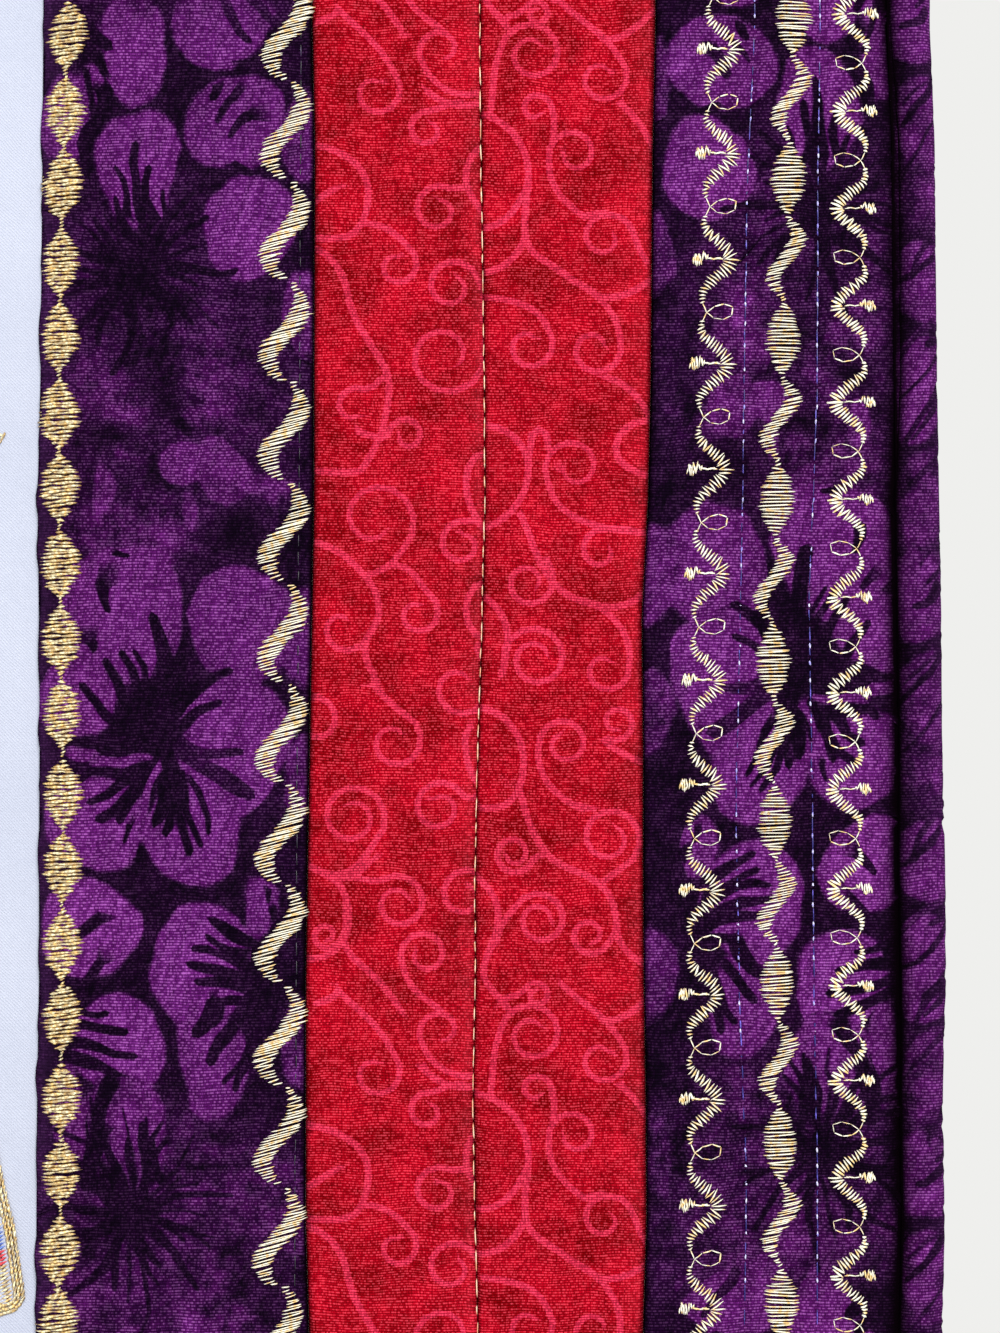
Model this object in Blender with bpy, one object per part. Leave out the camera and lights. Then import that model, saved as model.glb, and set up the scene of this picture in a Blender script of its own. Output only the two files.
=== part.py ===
"""Embroidered wall hanging, hanging flat in the XZ plane with its front towards -Y.

The origin is at the middle of its top edge. A white ground panel is framed, left and right, by a
purple band lapped over its side, two red strips seamed edge to edge and a second purple band,
and a narrow purple binding is turned round all four edges. Each cloth is a padded sheet with the
pull of its stitching in its face: a raised fold at each seam, a trough along each quilting line.
"""

from collections import namedtuple

import bmesh
import bpy
import numpy as np

MM = 0.001

# Driving dimensions, in millimetres
HEIGHT = 660.0
HALF_WIDTH = 254.0
LAP_LINE = 124.4
INNER_SEAM = 163.1
RED_SEAM = 187.6
OUTER_SEAM = 211.5
DITCH = 247.7
PIECE_GAP = 0.3

# The turned binding: how thick it is over all, and the slot that the cloth's edge lies in
BINDING_HALF_THICKNESS = 1.8
BINDING_WALL = 1.0
BINDING_WEB = 1.4
SLOT_HALF = BINDING_HALF_THICKNESS - BINDING_WALL
EDGE_HALF = SLOT_HALF - PIECE_GAP
END_BINDING_STATIONS = 8

# The ground panel's side runs this far behind the inner band, away from the top and the bottom
LAP_DEPTH = 5.0
LAP_STARTS = 14.0
LAP_FULL = 21.0
PRESSED_FLAT = 7.0

# How far the hanging stands off its own plane: ripples at its sides, a soft belly in its middle
SIDE_RIPPLE = 1.1
RIPPLE_LENGTH = 215.0
MIDDLE_BELLY = 1.6
FREE_TO_STAND_OFF = 90.0

# How far each line wanders sideways from its driving dimension, outwards positive, at each height
Sway = namedtuple("Sway", "down lap inner_seam red_seam outer_seam ditch edge")
SWAYS = [
    Sway(0.0, 0.0, 0.0, 0.0, 0.0, 0.0, 0.0),
    Sway(60.0, -0.3, 0.2, 0.4, -0.5, 0.3, 0.5),
    Sway(120.0, 0.2, -0.4, -0.3, 0.4, 0.6, -0.2),
    Sway(180.0, 0.6, 0.1, -0.4, 0.9, -0.5, -0.9),
    Sway(237.0, 0.5, 0.3, 0.0, 1.4, -1.4, -1.6),
    Sway(254.0, 0.4, 0.7, 0.1, 1.0, -0.1, -0.9),
    Sway(289.0, 0.1, 0.6, 0.6, 0.7, 0.1, -0.6),
    Sway(306.0, -0.3, 0.6, 0.7, 0.3, -0.6, -0.3),
    Sway(323.0, -0.1, 0.3, 0.3, -0.6, -0.3, 0.0),
    Sway(341.0, 0.0, 0.0, -0.3, -0.4, 0.0, 0.1),
    Sway(358.0, -0.1, -0.3, -0.7, -0.4, -0.1, 0.6),
    Sway(375.0, -0.1, -0.6, -0.7, -0.3, 0.3, 0.7),
    Sway(392.0, -0.4, -0.6, -1.0, 0.0, 0.3, 0.3),
    Sway(410.0, -0.5, -0.6, -0.7, 0.1, 0.6, 0.6),
    Sway(426.0, -0.6, -0.1, -0.3, -0.4, 0.1, 0.3),
    Sway(480.0, 0.1, 0.5, 0.4, 0.5, -0.4, -0.4),
    Sway(540.0, 0.4, 0.2, -0.5, -0.3, 0.2, 0.5),
    Sway(600.0, -0.3, -0.5, 0.2, 0.4, -0.2, -0.6),
    Sway(660.0, 0.0, 0.0, 0.0, 0.0, 0.0, 0.0),
]
LINES = {
    "lap": LAP_LINE,
    "inner_seam": INNER_SEAM,
    "red_seam": RED_SEAM,
    "outer_seam": OUTER_SEAM,
    "ditch": DITCH,
    "edge": HALF_WIDTH,
}

# Heights of the cross sections between the two ends, which lie in the bindings' slots
END_ROWS = (PRESSED_FLAT, LAP_STARTS, LAP_FULL)
MIDDLE_ROWS = (60.0, 100.0, 140.0, 180.0, 210.0, 237.0, 254.0, 271.0, 289.0, 306.0, 323.0, 341.0,
               358.0, 375.0, 392.0, 410.0, 426.0, 460.0, 500.0, 540.0, 580.0, 610.0)

# A column of a sheet's cross section: where it lies, as a share of the sheet's width and a step
# outwards from there, and its front and back faces. The front is negative.
Column = namedtuple("Column", "share step front back")
GROUND_SECTION = [
    Column(0.0, 0.0, -0.5, 0.5),
    Column(0.0, 6.0, -0.5, 0.5),
    Column(0.17, 0.0, -0.6, 0.4),
    Column(0.34, 0.0, -0.8, 0.2),
    Column(0.5, 0.0, -0.9, 0.1),
    Column(0.66, 0.0, -0.8, 0.2),
    Column(0.83, 0.0, -0.6, 0.4),
    Column(1.0, -6.0, -0.5, 0.5),
    Column(1.0, 0.0, -0.5, 0.5),
]
INNER_BAND_SECTION = [
    Column(0.0, 0.0, -1.8, -0.8),
    Column(0.0, 2.6, -2.1, -0.8),
    Column(0.0, 5.6, -1.8, -0.8),
    Column(0.0, 8.0, -0.8, 0.5),
    Column(0.45, 0.0, -1.0, 0.5),
    Column(0.8, 0.0, -0.9, 0.5),
    Column(1.0, -1.6, -0.5, 0.5),
    Column(1.0, 0.0, -0.8, 0.5),
]
RED_INNER_SECTION = [
    Column(0.0, 0.0, -0.5, 0.5),
    Column(0.0, 1.6, -0.8, 0.5),
    Column(0.5, 0.0, -0.9, 0.5),
    Column(1.0, -2.0, -1.0, 0.5),
    Column(1.0, 0.0, -1.2, 0.5),
]
RED_OUTER_SECTION = [
    Column(0.0, 0.0, -0.5, 0.5),
    Column(0.0, 1.8, -0.7, 0.5),
    Column(0.5, 0.0, -0.9, 0.5),
    Column(1.0, -2.2, -1.1, 0.5),
    Column(1.0, 0.0, -1.0, 0.5),
]
OUTER_BAND_SECTION = [
    Column(0.0, 0.0, -0.5, 0.5),
    Column(0.0, 2.4, -0.8, 0.5),
    Column(0.22, 0.0, -1.1, 0.5),
    Column(0.385, 0.0, -0.6, 0.5),
    Column(0.53, 0.0, -1.2, 0.5),
    Column(0.675, 0.0, -0.6, 0.5),
    Column(0.84, 0.0, -1.1, 0.5),
    Column(1.0, -0.6, -0.5, 0.5),
]

# A corner of the binding's cross section: its share of the way from the outer edge to the ditch,
# and its height as a share of the half thickness. The slot's corners are added to them.
Corner = namedtuple("Corner", "share height")
BINDING_ROUND = [
    Corner(0.98, -0.72),
    Corner(0.80, -1.0),
    Corner(0.32, -1.0),
    Corner(0.09, -0.66),
    Corner(0.0, 0.0),
    Corner(0.09, 0.66),
    Corner(0.32, 1.0),
    Corner(0.80, 1.0),
    Corner(0.98, 0.72),
]

# Colour and roughness of each cloth
WHITE = (0.74, 0.78, 0.86)
PURPLE = (0.08, 0.015, 0.13)
RED = (0.52, 0.01, 0.03)
COTTON_ROUGHNESS = 0.85


def cloth_material(name, colour):
    material = bpy.data.materials.new(name)
    material.use_nodes = True
    shader = material.node_tree.nodes["Principled BSDF"]
    shader.inputs["Base Color"].default_value = (*colour, 1.0)
    shader.inputs["Roughness"].default_value = COTTON_ROUGHNESS
    shader.inputs["Metallic"].default_value = 0.0
    material.diffuse_color = (*colour, 1.0)
    return material


def ramp(value, start, full):
    """From 0 at start to 1 at full."""
    return min(max((value - start) / (full - start), 0.0), 1.0)


def from_nearer_end(down):
    return min(down, HEIGHT - down)


def line_at(line, down, side):
    """How far a seam lies from the middle at this height. The left border's sway runs upwards."""
    along = down if side > 0 else HEIGHT - down
    heights = [row.down for row in SWAYS]
    wander = [getattr(row, line) for row in SWAYS]
    return LINES[line] + float(np.interp(along, heights, wander))


def stand_off(across, down):
    """How far the hanging bulges forward of its plane, nothing at its straight top and bottom."""
    out = abs(across) / HALF_WIDTH
    free = ramp(from_nearer_end(down), LAP_FULL, FREE_TO_STAND_OFF)
    ripple = SIDE_RIPPLE * out**2 * (0.5 - 0.5 * np.cos(2 * np.pi * down / RIPPLE_LENGTH))
    belly = MIDDLE_BELLY * (0.5 + 0.5 * np.cos(np.pi * out)) * np.sin(np.pi * down / HEIGHT)
    return float(free * (ripple + belly))


def hung_point(across, depth, down):
    """A point of the hanging, in metres, from its place in the flat section in millimetres."""
    return (across * MM, (depth - stand_off(across, down)) * MM, -down * MM)


def loft(name, loops, material):
    """One closed solid through flat loops that have the same number of points."""
    mesh = bpy.data.meshes.new(name)
    body = bmesh.new()
    rings = [[body.verts.new(point) for point in loop] for loop in loops]
    for first, second in zip(rings, rings[1:]):
        for i in range(len(first)):
            j = (i + 1) % len(first)
            body.faces.new((first[i], first[j], second[j], second[i]))
    body.faces.new(rings[0])
    body.faces.new(rings[-1])
    bmesh.ops.recalc_face_normals(body, faces=body.faces)
    body.to_mesh(mesh)
    body.free()
    mesh.shade_smooth()
    mesh.set_sharp_from_angle(angle=np.radians(50))
    mesh.materials.append(material)
    solid = bpy.data.objects.new(name, mesh)
    bpy.context.scene.collection.objects.link(solid)
    return solid


def sheet_rows():
    """Heights of a sheet's sections, from inside the top binding to inside the bottom one."""
    first = BINDING_WEB + PIECE_GAP
    below = [HEIGHT - down for down in reversed(END_ROWS)]
    return [first, *END_ROWS, *MIDDLE_ROWS, *below, HEIGHT - first]


def section_loop(section, inner, outer, down, side):
    """A sheet's cross section: its front from the inner edge outwards, then its back."""
    front, back = [], []
    for column in section:
        across = side * (inner + column.share * (outer - inner) + column.step)
        front_face, back_face = pressed(column, down)
        front.append(hung_point(across, front_face, down))
        back.append(hung_point(across, back_face, down))
    return front + back[::-1]


def pressed(column, down):
    """A column's two faces, pressed to the binding slot's thickness near the top and bottom."""
    relief = ramp(from_nearer_end(down), PRESSED_FLAT, LAP_STARTS)
    front = -EDGE_HALF + relief * (column.front + EDGE_HALF)
    back = EDGE_HALF + relief * (column.back - EDGE_HALF)
    return front, back


def side_sheet(name, section, inner_line, outer_line, side, material):
    """A band or strip between two seams, half a gap clear of each."""
    loops = []
    for down in sheet_rows():
        inner = line_at(inner_line, down, side) + PIECE_GAP / 2
        outer = line_at(outer_line, down, side) - PIECE_GAP / 2
        loops.append(section_loop(section, inner, outer, down, side))
    return loft(name, loops, material)


def outer_band(name, side, material):
    """The outer band, with its outer edge running on as a tongue into the binding's slot."""
    loops = []
    for down in sheet_rows():
        inner = line_at("outer_seam", down, side) + PIECE_GAP / 2
        ditch = line_at("ditch", down, side)
        tongue = line_at("edge", down, side) - BINDING_WEB - PIECE_GAP - ditch
        section = OUTER_BAND_SECTION + [
            Column(1.0, 0.0, -EDGE_HALF, EDGE_HALF),
            Column(1.0, tongue, -EDGE_HALF, EDGE_HALF),
        ]
        loops.append(section_loop(section, inner, ditch, down, side))
    return loft(name, loops, material)


def ground_panel(material):
    """The white panel. Its sides run behind the inner bands, but for its top and bottom corners."""
    loops = []
    for down in sheet_rows():
        lapped = ramp(from_nearer_end(down), LAP_STARTS, LAP_FULL)
        reach = -PIECE_GAP / 2 + lapped * (LAP_DEPTH + PIECE_GAP / 2)
        left = -line_at("lap", down, -1) - reach
        right = line_at("lap", down, 1) + reach
        loops.append(section_loop(GROUND_SECTION, left, right, down, 1))
    return loft("ground_panel", loops, material)


def binding_section(width):
    """The turned binding's cross section: distance in from the outer edge, and depth."""
    rounded = [(c.share * width, c.height * BINDING_HALF_THICKNESS) for c in BINDING_ROUND]
    slot = [
        (width, SLOT_HALF),
        (BINDING_WEB, SLOT_HALF),
        (BINDING_WEB, -SLOT_HALF),
        (width, -SLOT_HALF),
    ]
    return rounded + slot


def side_binding(name, side, material):
    """The binding turned round one side, between the top and bottom bindings."""
    clear = HALF_WIDTH - DITCH + PIECE_GAP
    ends = [clear, LAP_STARTS, LAP_FULL]
    below = [HEIGHT - down for down in reversed(ends)]
    loops = []
    for down in [*ends, *MIDDLE_ROWS, *below]:
        edge = line_at("edge", down, side)
        width = edge - line_at("ditch", down, side) - PIECE_GAP / 2
        loops.append([
            hung_point(side * (edge - inward), depth, down)
            for inward, depth in binding_section(width)
        ])
    return loft(name, loops, material)


def end_binding(name, at_top, material):
    """The binding turned round the top or the bottom, across the whole width."""
    width = HALF_WIDTH - DITCH
    stations = np.linspace(-HALF_WIDTH, HALF_WIDTH, END_BINDING_STATIONS)
    loops = []
    for across in stations:
        loops.append([
            hung_point(across, depth, inward if at_top else HEIGHT - inward)
            for inward, depth in binding_section(width)
        ])
    return loft(name, loops, material)


def main():
    for thing in list(bpy.data.objects):
        bpy.data.objects.remove(thing, do_unlink=True)
    white = cloth_material("white_sateen", WHITE)
    purple = cloth_material("purple_batik", PURPLE)
    red = cloth_material("red_scroll_print", RED)
    ground_panel(white)
    for name, side in (("left", -1), ("right", 1)):
        side_sheet(f"inner_band_{name}", INNER_BAND_SECTION, "lap", "inner_seam", side, purple)
        side_sheet(f"red_inner_{name}", RED_INNER_SECTION, "inner_seam", "red_seam", side, red)
        side_sheet(f"red_outer_{name}", RED_OUTER_SECTION, "red_seam", "outer_seam", side, red)
        outer_band(f"outer_band_{name}", side, purple)
        side_binding(f"binding_{name}", side, purple)
    end_binding("binding_top", True, purple)
    end_binding("binding_bottom", False, purple)


main()
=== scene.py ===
"""Looks of the embroidered wall hanging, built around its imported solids.

Every cloth is a closed padded shell cut from a printed cloth, and every stitch is a thread of its
own. Lengths are in millimetres in the hanging's flat plan: across from its middle, and down from
its top edge. place() turns them into the frame's metres.
"""

import math
import random
from collections import namedtuple
from functools import partialmethod

import bpy
import numpy as np
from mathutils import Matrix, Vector, kdtree
from mathutils.geometry import delaunay_2d_cdt

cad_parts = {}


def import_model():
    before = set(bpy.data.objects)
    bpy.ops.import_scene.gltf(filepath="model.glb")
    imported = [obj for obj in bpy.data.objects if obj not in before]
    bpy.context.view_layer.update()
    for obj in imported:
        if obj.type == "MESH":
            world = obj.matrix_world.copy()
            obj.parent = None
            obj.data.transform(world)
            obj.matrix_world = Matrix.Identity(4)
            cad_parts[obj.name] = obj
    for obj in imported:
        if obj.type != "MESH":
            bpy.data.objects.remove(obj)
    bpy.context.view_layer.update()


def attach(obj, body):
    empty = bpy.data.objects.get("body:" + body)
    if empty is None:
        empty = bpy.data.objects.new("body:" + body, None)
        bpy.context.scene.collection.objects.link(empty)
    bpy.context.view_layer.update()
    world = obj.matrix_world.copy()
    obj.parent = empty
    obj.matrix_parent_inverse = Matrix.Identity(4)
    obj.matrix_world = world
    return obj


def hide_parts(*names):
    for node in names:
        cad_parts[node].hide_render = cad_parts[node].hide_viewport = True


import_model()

MM = 0.001


def each(kind, rows):
    """A table's rows as values of one kind."""
    return [kind(*row) for row in rows]


# Dimensions of the solids, as in the part's source
HEIGHT = 660.0
HALF_WIDTH = 254.0
PIECE_GAP = 0.3
BINDING_HALF_THICKNESS = 1.8
BINDING_WALL = 1.0
BINDING_WEB = 1.4
SLOT_HALF = BINDING_HALF_THICKNESS - BINDING_WALL
EDGE_HALF = SLOT_HALF - PIECE_GAP
LAP_DEPTH = 5.0
LAP_STARTS = 14.0
LAP_FULL = 21.0
PRESSED_FLAT = 7.0
SIDE_RIPPLE = 1.1
RIPPLE_LENGTH = 215.0
MIDDLE_BELLY = 1.6
FREE_TO_STAND_OFF = 90.0
LINES = {
    "lap": 124.4,
    "inner_seam": 163.1,
    "red_seam": 187.6,
    "outer_seam": 211.5,
    "ditch": 247.7,
    "edge": HALF_WIDTH,
}

# How far each line wanders sideways, outwards positive, at each height
SWAY_HEIGHTS = [0, 60, 120, 180, 237, 254, 289, 306, 323, 341, 358, 375, 392, 410, 426, 480, 540,
                600, 660]
SWAYS = {
    "lap": [0, -0.3, 0.2, 0.6, 0.5, 0.4, 0.1, -0.3, -0.1, 0, -0.1, -0.1, -0.4, -0.5, -0.6, 0.1,
            0.4, -0.3, 0],
    "inner_seam": [0, 0.2, -0.4, 0.1, 0.3, 0.7, 0.6, 0.6, 0.3, 0, -0.3, -0.6, -0.6, -0.6, -0.1,
                   0.5, 0.2, -0.5, 0],
    "red_seam": [0, 0.4, -0.3, -0.4, 0, 0.1, 0.6, 0.7, 0.3, -0.3, -0.7, -0.7, -1.0, -0.7, -0.3,
                 0.4, -0.5, 0.2, 0],
    "outer_seam": [0, -0.5, 0.4, 0.9, 1.4, 1.0, 0.7, 0.3, -0.6, -0.4, -0.4, -0.3, 0, 0.1, -0.4,
                   0.5, -0.3, 0.4, 0],
    "ditch": [0, 0.3, 0.6, -0.5, -1.4, -0.1, 0.1, -0.6, -0.3, 0, -0.1, 0.3, 0.3, 0.6, 0.1, -0.4,
              0.2, -0.2, 0],
    "edge": [0, 0.5, -0.2, -0.9, -1.6, -0.9, -0.6, -0.3, 0, 0.1, 0.6, 0.7, 0.3, 0.6, 0.3, -0.4,
             0.5, -0.6, 0],
}

# Cross sections of the sheets' fronts: a share of the width, a step outwards, and the depth
Column = namedtuple("Column", "share step front")
GROUND_SECTION = each(Column, [
    (0, 0, -0.5), (0, 6, -0.5), (0.17, 0, -0.6), (0.34, 0, -0.8), (0.5, 0, -0.9), (0.66, 0, -0.8),
    (0.83, 0, -0.6), (1, -6, -0.5), (1, 0, -0.5),
])
INNER_BAND_SECTION = each(Column, [
    (0, 0, -1.8), (0, 2.6, -2.1), (0, 5.6, -1.8), (0, 8, -0.8), (0.45, 0, -1), (0.8, 0, -0.9),
    (1, -1.6, -0.5), (1, 0, -0.8),
])
RED_INNER_SECTION = each(Column, [
    (0, 0, -0.5), (0, 1.6, -0.8), (0.5, 0, -0.9), (1, -2, -1), (1, 0, -1.2),
])
RED_OUTER_SECTION = each(Column, [
    (0, 0, -0.5), (0, 1.8, -0.7), (0.5, 0, -0.9), (1, -2.2, -1.1), (1, 0, -1),
])
OUTER_BAND_SECTION = each(Column, [
    (0, 0, -0.5), (0, 2.4, -0.8), (0.22, 0, -1.1), (0.385, 0, -0.6), (0.53, 0, -1.2), (0.675, 0, -0.6),
    (0.84, 0, -1.1), (1, -0.6, -0.5),
])

# How far out the embroidered and the quilted lines run at each height
LINE_HEIGHTS = [0, 120, 237, 262, 290, 320, 350, 380, 404, 426, 540, 660]
STITCH_LINES = {
    "lens_chain": [
        127.6, 127.9, 128.6, 127.7, 127.3, 127.5, 127.9, 127.7, 127.6, 127.0, 127.6, 127.6,
    ],
    "inner_quilting": [
        161.6, 161.2, 161.9, 161.8, 161.7, 161.5, 161.3, 161.2, 161.0, 161.0, 161.5, 161.6,
    ],
    "wave": [159.2, 158.8, 159.9, 159.6, 159.5, 159.3, 159.0, 158.9, 158.7, 158.4, 159.2, 159.2],
    "left_scroll": [
        219.6, 219.9, 220.9, 220.5, 219.6, 218.9, 218.2, 218.2, 218.3, 218.2, 219.4, 219.6,
    ],
    "first_quilting": [
        225.6, 226.0, 227.2, 226.0, 225.6, 225.1, 224.4, 225.0, 226.0, 225.6, 225.3, 225.6,
    ],
    "centre": [231.3, 231.6, 232.8, 231.9, 230.9, 229.6, 229.9, 230.4, 230.8, 231.0, 231.6, 231.3],
    "second_quilting": [
        235.9, 235.7, 236.6, 236.2, 236.1, 234.9, 235.4, 235.7, 236.2, 236.1, 235.8, 235.9,
    ],
    "right_scroll": [
        242.0, 242.2, 242.8, 242.5, 242.3, 241.8, 241.7, 242.2, 242.4, 242.5, 242.0, 242.0,
    ],
}


def limited(value):
    return np.clip(value, 0.0, 1.0)


def ramp(value, start, full):
    return limited((np.asarray(value, float) - start) / (full - start))


def ease(value):
    """A soft step from 0 to 1."""
    share = limited(value)
    return share * share * (3.0 - 2.0 * share)


def bell(away, width):
    """1 on a line, and less on both sides of it."""
    return np.exp(-(away / width) ** 2)


def from_nearer_end(down):
    return np.minimum(down, HEIGHT - down)


def line_at(line, down, side):
    """How far a seam lies from the middle. The left border's sway runs upwards."""
    along = down if side > 0 else HEIGHT - down
    return LINES[line] + np.interp(along, SWAY_HEIGHTS, SWAYS[line])


def stitch_line_at(line, down, side):
    along = down if side > 0 else HEIGHT - down
    return np.interp(along, LINE_HEIGHTS, STITCH_LINES[line])


def stand_off(across, down):
    """How far the hanging bulges forward of its plane, nothing at its straight top and bottom."""
    out = np.abs(across) / HALF_WIDTH
    free = ramp(from_nearer_end(down), LAP_FULL, FREE_TO_STAND_OFF)
    ripple = SIDE_RIPPLE * out**2 * (0.5 - 0.5 * np.cos(2 * np.pi * down / RIPPLE_LENGTH))
    belly = MIDDLE_BELLY * (0.5 + 0.5 * np.cos(np.pi * out)) * np.sin(np.pi * down / HEIGHT)
    return free * (ripple + belly)


def place(across, depth, down):
    """Points in the frame's metres, one row each."""
    across = np.asarray(across, float)
    down = np.asarray(down, float)
    depth = np.broadcast_to(np.asarray(depth, float), across.shape)
    return np.stack([across, depth - stand_off(across, down), -down], axis=-1) * MM


def section_depth(section, out, inner, outer):
    """The front's depth at a distance out from the middle, rounded between the columns."""
    stops = [inner + column.share * (outer - inner) + column.step for column in section]
    depth = np.full_like(out, section[0].front)
    for k in range(len(section) - 1):
        share = ease((out - stops[k]) / (stops[k + 1] - stops[k]))
        level = section[k].front + share * (section[k + 1].front - section[k].front)
        depth = np.where(out >= stops[k], level, depth)
    return depth


def pressed_flat(depth, down, flat):
    """The depth, which goes over to that of pressed cloth at the top and bottom."""
    return flat + ramp(from_nearer_end(down), PRESSED_FLAT, LAP_STARTS) * (depth - flat)


# How sewing draws the cloth up beside a stitched line, and how its edges turn in
STITCH_PITCH = 3.6
EDGE_ROUND = 0.75
PUCKER_RISE = 0.26
PUCKER_REACH = 1.5
CREASE_DEPTH = 0.32
CREASE_HALF = 0.45
DRAWN_IN = 0.14
DRAWN_REACH = 4.5
# The outer band's drop into the ditch: how far before it this starts, and the two depths
DITCH_REACH = 5.5
DITCH_RIM = -1.05
DITCH_DROP = 0.72


def unevenness(out, down, phase):
    """A slow, uneven swell from 0 to 1, for cloth drawn up by its sewing."""
    swell = np.sin(down / 2.9 + phase) * np.sin(down / 7.7 + out / 9.0 + 2.0 * phase)
    return 0.5 + 0.5 * swell


def per_stitch(down, drift=0.0):
    """0 where the thread goes into the cloth, 1 in the middle between two holes."""
    return 0.5 - 0.5 * np.cos(2 * np.pi * down / STITCH_PITCH + drift)


def puckers(out, line, down, phase):
    """Small pillows beside a stitched line, one for each stitch, and the crease along it."""
    away = np.abs(out - line)
    pillow = per_stitch(down, 0.8 * np.sin(down / 13.0 + phase))
    rise = PUCKER_RISE * (0.55 * pillow + 0.9 * unevenness(out, down, phase))
    crease = CREASE_DEPTH * bell(away, CREASE_HALF)
    return crease - rise * np.exp(-away / PUCKER_REACH) * (1.0 - bell(away, 0.5))


# A strip of the border: the lines at its two sides, its section, the lines quilted and embroidered
# on it, how deep its two edges turn in, how far the painted shade of its outer crease reaches and
# how dark the painted shade of its outer and inner creases is
Strip = namedtuple("Strip", "name inner outer section quilted embroidered round_inner round_outer "
                            "crease_reach crease_outer crease_inner")
STRIPS = each(Strip, [
    ("inner_band", "lap", "inner_seam", INNER_BAND_SECTION, ["inner_quilting"],
     ["lens_chain", "wave"], 1.0, 0.4, 0.45, 1.0, 0.0),
    ("red_inner", "inner_seam", "red_seam", RED_INNER_SECTION, [], [], 0.4, 0.28, 0.25, 0.35, 0.8),
    ("red_outer", "red_seam", "outer_seam", RED_OUTER_SECTION, [], [], 0.24, 0.7, 0.45, 1.0, 0.25),
    ("outer_band", "outer_seam", "ditch", OUTER_BAND_SECTION, ["first_quilting", "second_quilting"],
     ["left_scroll", "centre", "right_scroll"], 0.4, 0.4, 1.6, 1.0, 0.8),
])
QUILTING_LINES = ["inner_quilting", "first_quilting", "second_quilting"]


def strip_edges(strip, down, side):
    return line_at(strip.inner, down, side), line_at(strip.outer, down, side)


def strip_front(strip, out, down, side):
    """Depth of a strip's front face."""
    inner, outer = strip_edges(strip, down, side)
    depth = section_depth(strip.section, out, inner, outer)
    for number, line in enumerate(strip.quilted):
        depth = depth + puckers(out, stitch_line_at(line, down, side), down, 1.3 * number + side)
    if strip.inner != "lap":
        depth = depth + puckers(out, inner, down, 2.1 + side)
    depth = depth + puckers(out, outer, down, 3.4 + side)
    for number, line in enumerate(strip.embroidered):
        away = out - stitch_line_at(line, down, side)
        depth = depth + DRAWN_IN * unevenness(out, down * 1.3, number) * bell(away, DRAWN_REACH)
    turned_in = limited(1.0 - (out - inner) / EDGE_ROUND) ** 2 * strip.round_inner
    turned_out = limited(1.0 - (outer - out) / EDGE_ROUND) ** 2 * strip.round_outer
    depth = depth + turned_in + turned_out
    if strip.outer == "ditch":
        drop = DITCH_RIM + DITCH_DROP * ease((out - outer + 1.9) / 1.3)
        depth = np.where(out > outer - DITCH_REACH, np.minimum(depth, drop), depth)
    depth = pressed_flat(depth, down, -EDGE_HALF)
    return np.where(out > line_at("ditch", down, side) - 0.2, -EDGE_HALF, depth)


def ground_front(out, down):
    """Depth of the white panel's front face."""
    left = -line_at("lap", down, -1)
    right = line_at("lap", down, 1)
    depth = section_depth(GROUND_SECTION, out, left, right)
    soft = 0.12 * np.sin(out / 21.0 + 1.2 * np.sin(down / 57.0)) * np.sin(down / 34.0)
    return pressed_flat(depth + soft, down, -EDGE_HALF)


# Cutting the cloth

Cut = namedtuple("Cut", "points triangles rim")


def triangulate(outline, inside, lines):
    """Triangles of a flat cloth whose edges follow its outline and every line of its print."""
    points = [Vector(point) for point in outline]
    count = len(points)
    edges = [(k, (k + 1) % count) for k in range(count)]
    for line in lines:
        start = len(points)
        points.extend(Vector(point) for point in line)
        edges.extend((start + k, start + k + 1) for k in range(len(line) - 1))
    points.extend(Vector(point) for point in inside)
    corners, _, faces, _, _, _ = delaunay_2d_cdt(points, edges, [], 0, 1e-4, False)
    corners = np.array([tuple(corner) for corner in corners])
    triangles = np.array([face for face in faces if len(face) == 3], int)
    middles = corners[triangles].mean(axis=1)
    triangles = triangles[inside_outline(np.array(outline, float), middles)]
    used, compact = np.unique(triangles, return_inverse=True)
    triangles = compact.reshape(triangles.shape)
    return Cut(corners[used], triangles, rim_of(triangles))


def inside_outline(outline, points):
    """Which points lie between the outline's two sides, each of which runs steadily downwards."""
    top, bottom = int(outline[:, 1].argmin()), int(outline[:, 1].argmax())
    ring = np.roll(outline, -top, axis=0)
    turn = (bottom - top) % len(outline)
    one, other = ring[:turn + 1], np.concatenate([ring[turn:], ring[:1]])[::-1]
    if one[:, 0].mean() > other[:, 0].mean():
        one, other = other, one
    left = np.interp(points[:, 1], one[:, 1], one[:, 0])
    right = np.interp(points[:, 1], other[:, 1], other[:, 0])
    return (points[:, 0] > left) & (points[:, 0] < right)


def rim_of(triangles):
    """The corners round the outside, in the triangles' own direction."""
    edges = dict.fromkeys(edge for a, b, c in triangles.tolist() for edge in ((a, b), (b, c), (c, a)))
    following = {a: b for a, b in edges if (b, a) not in edges}
    first = next(iter(following))
    rim = [first]
    while following[rim[-1]] != first:
        rim.append(following[rim[-1]])
    return rim


def tree_of(points):
    """A search tree of flat points."""
    tree = kdtree.KDTree(len(points))
    for number, (x, y) in enumerate(points):
        tree.insert((x, y, 0.0), number)
    tree.balance()
    return tree


def measured(mesh, name, values):
    mesh.attributes.new(name, "FLOAT", "POINT").data.foreach_set("value", values)


def linked(name, data):
    """A new object in the scene."""
    made = bpy.data.objects.new(name, data)
    bpy.context.scene.collection.objects.link(made)
    return made


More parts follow.
